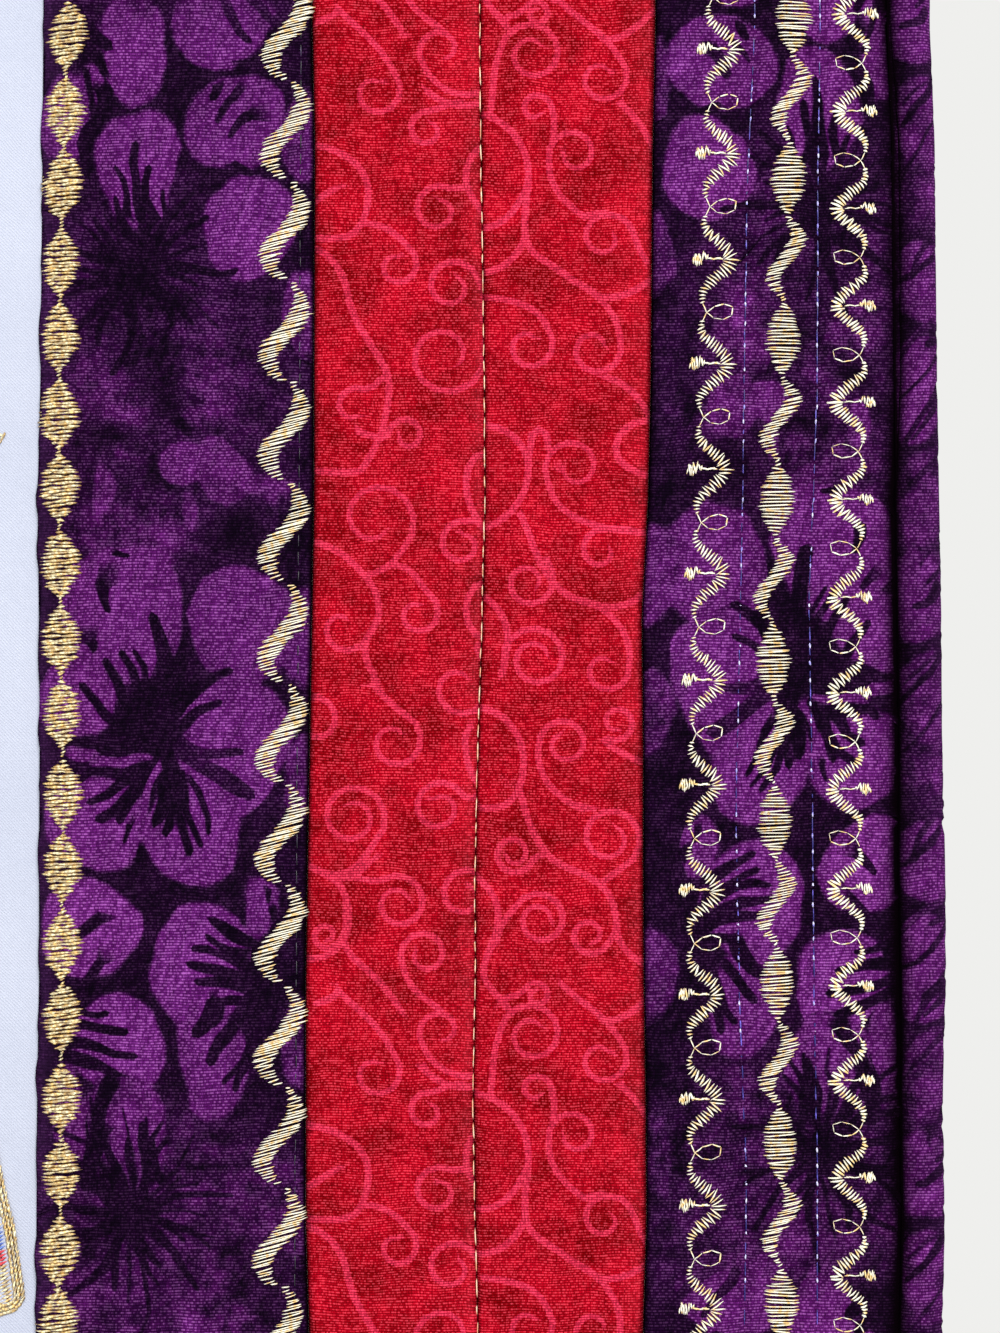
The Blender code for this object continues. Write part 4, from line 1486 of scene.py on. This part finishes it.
def backing_cotton():
    net = Finish("cream backing cotton", (0.75, 0.7, 0.6), 0.85)
    weave = net.group(PLAIN_WEAVE, Weft_pitch=0.42, Warp_pitch=0.42, Slub=0.5)
    clouds = net.group(MOTTLING, Cloud_size=60.0, Speck_size=1.4)
    base = net.mix(weave["Shade"], colour(206, 196, 176), colour(238, 231, 214))
    tone = net.line(clouds["Clouds"], 0.2, 0.12, clamp=True)
    net.bump(weave["Height"], 0.07, 0.8)
    return net.done(net.mix(tone, base, colour(196, 184, 160)))


def woven(net, weave, base, shades, sheen, sheen_share, sheen_tint, ridge_highlight, worn_tint, crease, bump):
    """A dyed cloth with what its weave gives it: painted shade and sheen, a painted highlight on its
    raised folds and ridges, and painted shade in its creases.
    """
    base = net.mix(1.0, base, net.mix(weave["Shade"], *shades), "MULTIPLY")
    lit = net.times(net.line(weave["Shade"], 3.0, -2.1, clamp=True), sheen)
    base = net.mix(net.times(lit, sheen_share), base, sheen_tint)
    # Painted highlight where the raised folds and ridges catch the light
    base = net.mix(net.group(RIDGE_HIGHLIGHT, Amount=ridge_highlight)["Worn"], base, worn_tint)
    # Painted shade in the creases beside the seams, in the ditch and in the binding's slot
    deep = net.times(measure_of(net, "crease"), crease, clamp=True)
    net.bump(weave["Height"], 0.08, bump)
    return net.done(net.mix(deep, base, colour(4, 0, 3)), specular=0.02)


# The purple dye's colours, from its ground to its lightest petals
DYE_STOPS = [(0.28, (46, 6, 56)), (0.6, (81, 16, 91)), (0.8, (105, 28, 117))]


def purple_batik():
    net = Finish("purple batik", (0.08, 0.015, 0.13), 0.9)
    weave = net.group(PLAIN_WEAVE, Weft_pitch=0.42, Warp_pitch=0.44, Slub=0.4)
    clouds = net.group(MOTTLING, Cloud_size=17.0, Speck_size=0.8)
    dye = measure_of(net, "dye")
    loose = net.line(dye, -3.4, 2.4, clamp=True)
    cloudy = net.line(clouds["Patches"], 1.4, clouds["Clouds"])
    depth = net.line(cloudy, net.line(loose, 1.3, 0.1), 1.0)
    light = net.times(dye, net.math("MAXIMUM", depth, 0.12))
    light = net.line(clouds["Specks"], 0.1, light)
    light = net.line(clouds["Streaks"], net.line(dye, 0.16, 0.04), light, clamp=True)
    tones = net.node("ShaderNodeValToRGB", Fac=light)
    stops = tones.color_ramp.elements
    stops[0].position, stops[0].color = 0.0, colour(15, 4, 21)
    stops[1].position, stops[1].color = 1.0, colour(138, 52, 152)
    for position, tint in DYE_STOPS:
        stops.new(position).color = colour(*tint)
    return woven(net, weave, tones.outputs["Color"], (colour(84, 62, 84), colour(255, 255, 255)),
                 sheen=light, sheen_share=0.33, sheen_tint=colour(208, 138, 216),
                 ridge_highlight=0.3, worn_tint=colour(140, 76, 160), crease=1.1, bump=0.8)


def red_scroll():
    net = Finish("red scroll print", (0.52, 0.01, 0.03), 0.85)
    weave = net.group(PLAIN_WEAVE, Weft_pitch=0.38, Warp_pitch=0.40, Slub=0.45)
    clouds = net.group(MOTTLING, Cloud_size=9.0, Speck_size=0.7)
    ragged = net.line(clouds["Specks"], 0.24, measure_of(net, "print"))
    ragged = net.line(weave["Shade"], 0.2, ragged)
    inked = net.times(net.less(ragged, 0.22), 3.4, clamp=True)
    cloud = net.line(clouds["Clouds"], 1.5, 0.5)
    cloud = net.line(clouds["Patches"], 0.7, cloud, clamp=True)
    ground = net.mix(cloud, colour(150, 0, 10), colour(208, 6, 36))
    inked = net.times(inked, net.line(cloud, 0.25, 0.66))
    base = net.mix(inked, ground, colour(238, 52, 88))
    return woven(net, weave, base, (colour(70, 30, 36), colour(255, 250, 255)),
                 sheen=1.0, sheen_share=0.24, sheen_tint=colour(255, 108, 134),
                 ridge_highlight=0.5, worn_tint=colour(236, 84, 108), crease=0.8, bump=0.9)


# Threads: the tone of their painted shade where they dip and turn away, also taken by dimmer
# stitches, the tone along their body and of their painted glints, their roughness, the glints'
# size, contrast and level, and how grainy they are
THREADS = {
    "gold": ("gold foil thread", (112, 68, 26), (250, 208, 118), (255, 250, 206),
             0.34, 0.48, 1.8, 0.45, 0.75),
    "ivory": ("cream gold thread", (104, 60, 34), (252, 214, 142), (255, 252, 232),
              0.34, 0.8, 2.2, 0.44),
    "rose": ("rose gold thread", (120, 40, 26), (236, 160, 120), (255, 222, 190), 0.4, 0.8, 1.6),
    "violet": ("violet quilting thread", (12, 6, 52), (38, 30, 120), (112, 96, 214),
               0.34, 1.1, 3.0, 0.58),
    # A lighter copy of the violet quilting thread for the knots: painted glints
    "glinting_violet": ("bright violet quilting thread", (70, 56, 160), (150, 140, 232), (226, 222, 255),
              0.3, 0.7, 2.0, 0.46),
    "night": ("dark quilting thread", (4, 1, 8), (14, 7, 26), (70, 52, 90), 0.4, 1.3, 2.0, 0.6),
    "red": ("red rayon thread", (90, 0, 14), (186, 12, 34), (236, 70, 84), 0.34, 0.9, 0.9),
    "blue": ("blue rayon thread", (8, 16, 74), (34, 62, 168), (110, 146, 226), 0.34, 0.9, 0.9),
}


def thread(name, deep, body, bright, roughness, fleck_size, contrast, level=0.5, grainy=0.0):
    deep, body, bright = colour(*deep), colour(*body), colour(*bright)
    net = Finish(name, body[:3], roughness)
    lustre = net.group(LUSTRE, Fleck_size=fleck_size, Fleck_contrast=contrast, Fleck_level=level)
    glint = lustre["Fleck"]
    if grainy:
        grain = net.line(lustre["Grain"], 3.0, -0.8, clamp=True)
        blend = net.node("ShaderNodeMix", {"data_type": "FLOAT"})
        for number, value in ((0, grainy), (2, glint), (3, grain)):
            net.join(blend.inputs[number], value)
        glint = blend.outputs[0]
    # Painted glints: the bright tone in spots along the thread, broken into grains on foil
    tone = net.mix(glint, body, bright)
    # Dimmer stitches at random take the same dark tone
    tone = net.mix(net.line(lustre["Shade"], -0.6, 0.24, clamp=True), tone, deep)
    # Painted shade on the sides that turn away from the view, and where the thread dips into the cloth
    turned = net.node("ShaderNodeLayerWeight", Blend=0.5).outputs["Facing"]
    turned = net.line(turned, 1.5, -0.55, clamp=True)
    tone = net.mix(net.math("MAXIMUM", turned, lustre["Tuck"]), tone, deep)
    if grainy:
        # Painted shade at the edges of the foil's grains
        tone = net.mix(net.times(lustre["Grain edge"], 0.6), tone, deep)
    return net.done(tone, specular=0.75)


# Cloth pieces

FINE_ROW = 1.5
GRID = 3.0
FIRST_ROW = BINDING_WEB + PIECE_GAP
SEAM_CLEAR = 0.03
EDGE_STEPS = (0.3, 0.8, 1.6)
QUILTED_STEPS = (-1.4, -0.55, 0.0, 0.55, 1.4)


def outline_of(left, right, rows, top, bottom=None):
    """Down the left side, along the bottom, up the right side and back along the top."""
    bottom = top if bottom is None else bottom
    outline = list(zip(left, rows)) + [(x, rows[-1]) for x in bottom]
    return outline + list(zip(right, rows))[::-1] + [(x, rows[0]) for x in top[::-1]]


def strip_plan(strip, side):
    """The strip's outline and the points inside it, closer together beside every stitched line."""
    rows = np.linspace(FIRST_ROW, HEIGHT - FIRST_ROW, int(HEIGHT / FINE_ROW))
    inner = line_at(strip.inner, rows, side) + SEAM_CLEAR
    outer = outer_edge(strip, rows, side)
    outline = outline_of(inner, outer, rows, np.linspace(inner[0], outer[0], 20)[1:-1],
                         np.linspace(inner[-1], outer[-1], 20)[1:-1])
    points = []
    for step in EDGE_STEPS:
        points.extend(zip(inner[1:-1] + step, rows[1:-1]))
        points.extend(zip(seam_side(strip, rows, side)[1:-1] - step, rows[1:-1]))
    for line in strip.quilted:
        at = stitch_line_at(line, rows, side)
        for step in QUILTED_STEPS:
            points.extend(zip(at[1:-1] + step, rows[1:-1]))
    for down in np.arange(FIRST_ROW + 1.2, HEIGHT - FIRST_ROW - 1.0, GRID):
        start = float(line_at(strip.inner, down, side)) + 2.6
        stop = float(seam_side(strip, down, side)) - 2.6
        for out in np.linspace(start, stop, int((stop - start) / GRID) + 1):
            away = [abs(out - float(stitch_line_at(line, down, side))) for line in strip.quilted]
            if min(away, default=GRID) >= 2.2:
                points.append((out, down))
    return outline, points


def seam_side(strip, down, side):
    return line_at(strip.outer, down, side) - (0.0 if strip.outer == "ditch" else SEAM_CLEAR)


def outer_edge(strip, down, side):
    """The outer band's edge runs on into the binding's slot."""
    if strip.outer == "ditch":
        return line_at("edge", down, side) - BINDING_WEB - PIECE_GAP
    return seam_side(strip, down, side)


def border_strip(strip, side, name, material, printed):
    outline, points = strip_plan(strip, side)
    span = (LINES[strip.inner] - 2.0, LINES[strip.outer] + 2.0)
    cut = triangulate(outline, points, printed.lines(span))

    def front(out, down):
        across = side * (out + fold_wobble(strip, out, down, side))
        return place(across, strip_front(strip, out, down, side), down)

    def back(out, down):
        return place(side * out, strip_back(strip, out, down, side), down)

    def measures(flat, front_count):
        out, down = flat.T
        inner, outer = strip_edges(strip, down, side)
        # How high the front stands, for the painted highlight where raised edges catch the light
        highest = -2.2 if strip.inner == "lap" else -1.6
        stands_up = limited((-0.9 - strip_front(strip, out, down, side)) / (-0.9 - highest))
        # Painted shade in the creases: beside the outer seam or the ditch, in the slot beyond it, and
        # beside the inner seam
        crease = bell(outer - out, strip.crease_reach) * strip.crease_outer
        crease = np.where(outer < out, 1.0, crease)
        crease = np.maximum(crease, strip.crease_inner * bell(out - inner, 0.4))
        crease[front_count:] = 0.0
        return {
            "dye" if "band" in strip.name else "print": printed.measure(flat),
            "ridge": stands_up * np.exp(-np.minimum(out - inner, outer - out) / 1.2),
            "crease": crease,
        }

    return shell(name, cut, coarse_points(strip, side), front, back, material, measures)


def fold_wobble(strip, out, down, side):
    """The soft folded edge over the white panel isn't quite straight."""
    if strip.inner != "lap":
        return np.zeros_like(out)
    from_fold = np.maximum(out - line_at("lap", down, side), 0.0)
    wave = np.sin(down / 1.7 + 1.6 * np.sin(down / 6.1) + side) + 0.6 * np.sin(down / 4.3 + 2.0 * side)
    return 0.2 * wave * np.exp(-from_fold / 1.1) * ramp(from_nearer_end(down), PRESSED_FLAT, LAP_FULL)


def strip_back(strip, out, down, side):
    """The back lies flat, but steps forward where the inner band laps over the white panel."""
    if strip.inner != "lap":
        return np.full_like(out, EDGE_HALF)
    from_fold = out - line_at("lap", down, side)
    return pressed_flat(-0.8 + ease((from_fold - 5.6) / 2.4) * 1.3, down, EDGE_HALF)


def coarse_points(strip, side):
    points = []
    for down in np.arange(6.0, HEIGHT - 4.0, 5.0):
        inner = float(line_at(strip.inner, down, side))
        outer = float(outer_edge(strip, down, side))
        steps = [5.6, 6.8, 8.0] if strip.inner == "lap" else []
        steps += list(np.linspace(0.0, outer - inner, 6)[1:-1])
        points.extend((inner + step, down) for step in steps)
    return points


# No painted highlight on the ridges of the white panel and the backing
def no_ridge_highlight(flat, front_count):
    return {"ridge": np.zeros(len(flat))}


def ground_reach(down):
    """How far the white panel runs behind the inner bands, nothing in its corners."""
    lapped = ramp(from_nearer_end(down), LAP_STARTS, LAP_FULL)
    return -PIECE_GAP / 2 + lapped * (LAP_DEPTH + PIECE_GAP / 2)


def ground_panel(material):
    rows = np.linspace(FIRST_ROW, HEIGHT - FIRST_ROW, 150)
    left = -line_at("lap", rows, -1) - ground_reach(rows)
    right = line_at("lap", rows, 1) + ground_reach(rows)
    outline = outline_of(left, right, rows, np.linspace(left[0], right[0], 48)[1:-1])
    inside = [
        (out, down)
        for down in np.arange(FIRST_ROW + 3.0, HEIGHT - FIRST_ROW - 2.0, 5.4)
        for out in np.linspace(-121.0, 121.0, 46)
    ]

    def front(out, down):
        return place(out, ground_front(out, down), down)

    def back(out, down):
        return place(out, ground_front(out, down) + 1.0, down)

    cut = triangulate(outline, inside, [])
    return shell("ground_panel", cut, inside[::7], front, back, material, no_ridge_highlight)


# The binding's round: a share of the way in from the outer edge, and a share of its half thickness
BINDING_ROUND = [
    (1.0, -0.3), (0.975, -0.66), (0.86, -0.93), (0.66, -1.0), (0.34, -1.0), (0.1, -0.66), (0.0, 0.0),
    (0.1, 0.66), (0.34, 1.0), (0.66, 1.0), (0.86, 0.93), (0.975, 0.66), (1.0, 0.3),
]
BINDING_WIDTH = HALF_WIDTH - LINES["ditch"]


def rounded_profile():
    """The binding's outside as a smooth line: shares of width and height against the way round."""
    knots = np.array(BINDING_ROUND)
    padded = np.concatenate([[2 * knots[0] - knots[1]], knots, [2 * knots[-1] - knots[-2]]])
    path = []
    for k in range(1, len(padded) - 2):
        a, b, c, d = padded[k - 1:k + 3]
        for share in np.linspace(0.0, 1.0, 8)[:-1]:
            path.append(0.5 * (2 * b + (c - a) * share + (2 * a - 5 * b + 4 * c - d) * share**2
                               + (3 * b - a - 3 * c + d) * share**3))
    path = np.clip(np.array(path + [padded[-2]]), [0.0, -1.0], 1.0)
    steps = np.hypot(np.diff(path[:, 0]) * 6.3, np.diff(path[:, 1]) * BINDING_HALF_THICKNESS)
    return path, np.concatenate([[0.0], np.cumsum(steps)])


PROFILE, PROFILE_WAY = rounded_profile()
BINDING_GIRTH = float(PROFILE_WAY[-1])


def binding_outside(way, along):
    """How far in from the edge, as a share of the width, and the depth on the binding's outside."""
    inward = np.interp(way, PROFILE_WAY, PROFILE[:, 0])
    depth = np.interp(way, PROFILE_WAY, PROFILE[:, 1]) * BINDING_HALF_THICKNESS
    soft = 0.5 - 0.5 * np.cos(2 * np.pi * way / BINDING_GIRTH)
    loose = 0.13 * unevenness(way, along, 0.7) * soft * np.where(depth < 0.0, 1.0, 0.0)
    near_ditch = np.exp(-np.minimum(way, BINDING_GIRTH - way) / 1.1)
    return inward, depth - np.sign(depth) * (loose + 0.1 * per_stitch(along) * near_ditch)


def binding_inside(way):
    """The slot's walls against the way round."""
    turn = BINDING_GIRTH / 2
    leg = BINDING_WIDTH - BINDING_WEB
    travelled = (way - turn) / turn * (leg + SLOT_HALF)
    inward = BINDING_WEB + np.clip(np.abs(travelled) - SLOT_HALF, 0.0, leg)
    return inward, np.clip(travelled, -SLOT_HALF, SLOT_HALF)


def binding(name, start, stop, spot, material, printed):
    """A binding turned round an edge. spot() turns (inward, depth, along) into the frame's metres."""
    rows = np.linspace(start, stop, int((stop - start) / 2.4))
    ways = np.linspace(0.0, BINDING_GIRTH, 18)
    outline = outline_of(np.full_like(rows, ways[0]), np.full_like(rows, ways[-1]), rows, ways[1:-1])
    inside = [(way, row) for row in rows[1:-1] for way in ways[1:-1]]
    coarse = [(way, row) for row in rows[3:-3:4] for way in ways[1:-1:2]]
    cut = triangulate(outline, inside, printed.lines((0.0, BINDING_GIRTH)))

    def front(way, along):
        return spot(*binding_outside(way, along), along)

    def back(way, along):
        return spot(*binding_inside(way), along, inside=True)

    def measures(flat, front_count):
        way = flat[:, 0]
        return {
            "dye": printed.measure(flat),
            # Painted highlight along the crown of the binding's round
            "ridge": 0.6 * np.exp(-np.abs(way - BINDING_GIRTH / 2) / 1.4),
            # Painted shade beside the ditch, where the binding turns into it
            "crease": bell(np.minimum(way, BINDING_GIRTH - way), 1.9),
        }

    return shell(name, cut, coarse, front, back, material, measures)


def side_spot(side):
    def spot(inward, depth, along, inside=False):
        edge = line_at("edge", along, side)
        width = edge - line_at("ditch", along, side) - PIECE_GAP / 2 + 0.1
        return place(side * (edge - (inward if inside else inward * width)), depth, along)
    return spot


def end_spot(at_top):
    def spot(inward, depth, along, inside=False):
        inward = inward if inside else inward * BINDING_WIDTH
        return place(along, depth, inward if at_top else HEIGHT - inward)
    return spot


# Depths of the backing cloth's two faces and of the stitches on it and in the red strips' seam
BACKING_FACE = 0.72
BACKING_INSIDE = 0.56
BACKING_STITCHES = 0.8
SEAM_STITCHES = -0.6


def backing(material):
    """One plain cotton behind the whole hanging, its edges held in the binding."""
    first = BINDING_WEB + 0.45
    rows = np.linspace(first, HEIGHT - first, 84)
    left = -line_at("edge", rows, -1) + first
    right = line_at("edge", rows, 1) - first
    outline = outline_of(left, right, rows, np.linspace(left[0], right[0], 64)[1:-1])
    sewn = [(line, side) for side in (1, -1) for line in QUILTING_LINES]
    inside = [(out, down) for down in rows[1:-1] for out in np.linspace(-249.0, 249.0, 50)]
    fine = np.linspace(first + 1.0, HEIGHT - first - 1.0, 365)
    for line, side in sewn:
        at = side * stitch_line_at(line, fine, side)
        for step in (-1.3, 0.0, 1.3):
            inside.extend(zip(at + step, fine))

    def behind(out, down):
        drawn = np.zeros_like(out)
        for line, side in sewn:
            away = np.abs(out - side * stitch_line_at(line, down, side))
            pillow = 0.1 + 0.25 * per_stitch(down)
            drawn = drawn + pillow * np.exp(-away / 2.0) * (1.0 - bell(away, 1.0))
        drawn = drawn + 0.1 * unevenness(out, down, 0.4)
        free = ramp(np.minimum(HALF_WIDTH - np.abs(out), from_nearer_end(down)), 7.5, 12.0)
        return place(out, BACKING_FACE + drawn * free, down)

    def before(out, down):
        return place(out, BACKING_INSIDE, down)

    cut = triangulate(outline, inside, [])
    return shell("backing_cloth", cut, inside[::9], behind, before, material, no_ridge_highlight)


def front_of(strip, side):
    def depth(out, down):
        return strip_front(strip, np.asarray(out, float), np.asarray(down, float), side)
    return depth


def flat_at(level):
    def depth(out, down):
        return np.full_like(np.asarray(out, float), level)
    return depth


# Where each strip's print lies on the two sides
BAND_SHIFTS = {"inner_band": (0.0, -81.0), "outer_band": (-9.0, 74.0)}
# The flowers' print is this wide, and the outer bands have it the other way round
PRINT_WIDTH = 39.0
SCROLL_SHIFTS = {"red_inner": (0.0, 61.0), "red_outer": (0.0, 37.0)}
BINDING_SHIFTS = (20.0, 61.0)
END_BINDING_SHIFT = 33.0
SIDES = ((1, "right"), (-1, "left"))
GOLD_SLOT = "gold_metallic_thread"
CREAM_SLOT = "cream_gold_thread"
VIOLET_SLOT = "violet_quilting_thread"


def lay_cloth(piece, solid):
    """Hides the solid that a cloth stands for, if any."""
    if solid:
        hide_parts(solid)


def lay_cloths(white, purple, red, cream):
    lay_cloth(ground_panel(white), "ground_panel")
    rng = random.Random(5)
    fingers = BAND_FINGERS + heart_strokes(rng)
    flowers = (BAND_PETALS, BAND_HAZES, BAND_HEARTS, fingers, BAND_REPEAT)
    slanting = (BINDING_PETALS, BINDING_HAZES, [], diagonal_fingers(rng), BINDING_REPEAT)
    arms = [scroll_arms(FIRST_CURLS, FIRST_STEMS), scroll_arms(SECOND_CURLS, SECOND_STEMS)]
    for number, (side, hand) in enumerate(SIDES):
        for strip in STRIPS:
            start = LINES[strip.inner]
            if strip.name in BAND_SHIFTS:
                shift = BAND_STARTS + BAND_SHIFTS[strip.name][number]
                laid = (start, 1.0) if strip.name == "inner_band" else (start + PRINT_WIDTH, -1.0)
                printed = FlowerPrint(*flowers, shift, *laid)
            else:
                chosen = number if strip.name == "red_inner" else 1 - number
                printed = ScrollPrint(arms[chosen], start, SCROLL_SHIFTS[strip.name][number])
            material = purple if strip.name in BAND_SHIFTS else red
            name = f"{strip.name}_{hand}"
            piece = border_strip(strip, side, name, material, printed)
            lay_cloth(piece, name)
        ends = BINDING_WIDTH + PIECE_GAP
        printed = FlowerPrint(*slanting, BINDING_SHIFTS[number])
        name = f"binding_{hand}"
        piece = binding(name, ends, HEIGHT - ends, side_spot(side), purple, printed)
        lay_cloth(piece, name)
    for at_top, name in ((True, "binding_top"), (False, "binding_bottom")):
        printed = FlowerPrint(*slanting, END_BINDING_SHIFT)
        piece = binding(name, -HALF_WIDTH, HALF_WIDTH, end_spot(at_top), purple, printed)
        lay_cloth(piece, name)
    lay_cloth(backing(cream), None)


def quilting_knots(stitches):
    """The small knots at the ends of most quilting stitches, in a lighter copy of the violet thread:
    painted glints.
    """
    return [s._replace(down=s.to_down - 0.65, to_down=s.to_down + 0.25, girth=0.17, lift=0.34)
            for s in stitches if (s.down * 7.3) % 1.0 < 0.62]


def sew_border(side, hand, threads):
    on_inner, on_outer = front_of(STRIPS[0], side), front_of(STRIPS[3], side)
    quilting, knots, behind = [], [], []
    for line in QUILTING_LINES[1:]:
        sewn = straight_line(line, side, lengths=(1.9, 3.9), gaps=(-0.5, -0.2), girth=0.125,
                             lift=0.16, seed=71)
        quilting += sewn
        knots += quilting_knots(sewn)
    for line in QUILTING_LINES:
        behind += straight_line(line, side, lengths=(2.9, 3.2), gaps=(0.4, 0.6), girth=0.12,
                                lift=0.12, seed=91)
    dark = straight_line("inner_quilting", side, lengths=(1.8, 2.6), gaps=(0.2, 0.5), girth=0.1,
                         lift=0.06, seed=81)
    seam = straight_line("red_seam", side, lengths=(1.4, 3.4), gaps=(0.4, 1.2), girth=0.135,
                         lift=0.14, seed=61, position=line_at)
    inner_scroll = scroll_line("left_scroll", side, hand=1, seed=41)
    outer_scroll = scroll_line("right_scroll", side, hand=-1, seed=51)
    for name, stitches, face, colour_name, slot, seed, steps, facing in (
        ("lens_chain", lens_chain(side), on_inner, "gold", GOLD_SLOT, 1, 2, 1.0),
        ("serpentine", wave_line(side), on_inner, "ivory", CREAM_SLOT, 2, 3, 1.0),
        ("lens_and_wave", centre_line(side), on_outer, "ivory", CREAM_SLOT, 3, 3, 1.0),
        ("scroll_stitch_inner", inner_scroll, on_outer, "ivory", CREAM_SLOT, 4, 2, 1.0),
        ("scroll_stitch_outer", outer_scroll, on_outer, "ivory", CREAM_SLOT, 5, 2, 1.0),
        ("red_seam_stitch", seam, flat_at(SEAM_STITCHES), "rose", CREAM_SLOT, 6, 3, 1.0),
        ("quilting", quilting, on_outer, "violet", VIOLET_SLOT, 7, 2, 1.0),
        ("quilting_knots", knots, on_outer, "glinting_violet", VIOLET_SLOT, 10, 2, 1.0),
        ("inner_quilting", dark, on_inner, "night", VIOLET_SLOT, 8, 3, 1.0),
        ("quilting_behind", behind, flat_at(BACKING_STITCHES), "violet", VIOLET_SLOT, 11, 2, -1.0),
    ):
        sew(f"{name}_{hand}", stitches, face, side, threads[colour_name], slot, seed, steps, facing)


def sew_motif(threads):
    """The motif's right half, and its mirror without the stitches that lie on the middle line."""
    halves = motif()
    for name, key, slot in (("gold", "gold", GOLD_SLOT), ("pale", "ivory", CREAM_SLOT),
                            ("red", "red", "red_thread"), ("blue", "blue", "blue_thread")):
        half = halves[name]
        mirrored = [s._replace(out=-s.out, to_out=-s.to_out) for s in half
                    if max(abs(s.out), abs(s.to_out)) > 0.7]
        sew(f"motif_{name}", half + mirrored, ground_front, 1, threads[key], slot, 9, steps=2)


def build():
    cottons = white_cotton(), purple_batik(), red_scroll(), backing_cotton()
    threads = {key: thread(*row) for key, row in THREADS.items()}
    lay_cloths(*cottons)
    for side, hand in SIDES:
        sew_border(side, hand, threads)
    sew_motif(threads)


# Camera, light and floor

VIEW_ACROSS = 190.5
VIEW_DOWN = 330.0
VIEW_HEIGHT = 192.0
LENS = 100.0
SENSOR = 36.0
WORLD_LIGHT = 0.6
LIGHT_AIM = (0.1, 0.0, -0.33)
# Each lamp: its name, its place, its size and power, and its tint
LAMPS = [
    ("key", (0.68, -1.08, 0.34), 0.5, 17.4, (1.0, 0.985, 0.96)),
    ("fill", (-0.7, -1.1, -0.1), 1.1, 9.0, (0.95, 0.97, 1.0)),
    ("back", (-1.1, 0.8, 0.1), 0.5, 9.0, (1.0, 0.99, 0.97)),
]
FLOOR_REACH = 1.2
FLOOR_BELOW = 0.25


def set_camera():
    data = bpy.data.cameras.new("camera")
    data.lens = LENS
    data.sensor_width = SENSOR
    data.sensor_fit = "AUTO"
    data.clip_start = 0.01
    camera = linked("camera", data)
    distance = VIEW_HEIGHT * MM * LENS / SENSOR
    camera.location = (VIEW_ACROSS * MM, -distance, -VIEW_DOWN * MM)
    camera.rotation_euler = (math.radians(90.0), 0.0, 0.0)
    bpy.context.scene.camera = camera


def soft_light(name, spot, size, power, tint):
    data = bpy.data.lights.new(name, "AREA")
    data.shape = "SQUARE"
    data.size = size
    data.energy = power
    data.color = tint
    lamp = linked(name, data)
    lamp.location = spot
    way = Vector(LIGHT_AIM) - Vector(spot)
    lamp.rotation_euler = way.to_track_quat("-Z", "Y").to_euler()
    lamp.visible_camera = False


def set_light():
    world = bpy.data.worlds.new("studio")
    world.use_nodes = True
    bpy.context.scene.world = world
    net = Net(world.node_tree)
    seen = net.node("ShaderNodeLightPath").outputs["Is Camera Ray"]
    net.fill(world.node_tree.nodes["Background"], Color=colour(239, 239, 237),
             Strength=net.line(seen, 1.0 - WORLD_LIGHT, WORLD_LIGHT))
    for lamp in LAMPS:
        soft_light(*lamp)
    bpy.context.scene.view_settings.view_transform = "Standard"


def set_floor():
    mesh = bpy.data.meshes.new("floor")
    level = -HEIGHT * MM - FLOOR_BELOW
    corners = [(x * FLOOR_REACH, y * FLOOR_REACH, level) for x, y in ((-1, -1), (1, -1), (1, 1), (-1, 1))]
    mesh.from_pydata(corners, [], [(0, 1, 2, 3)])
    net = Finish("pale studio floor", (0.85, 0.85, 0.83), 0.7)
    spot = net.node("ShaderNodeTexCoord").outputs["Object"]
    tone = net.mix(noise(net, spot, 3.0), colour(226, 226, 223), colour(234, 234, 231))
    mesh.materials.append(net.done(tone))
    linked("floor", mesh)


build()
set_camera()
set_light()
set_floor()
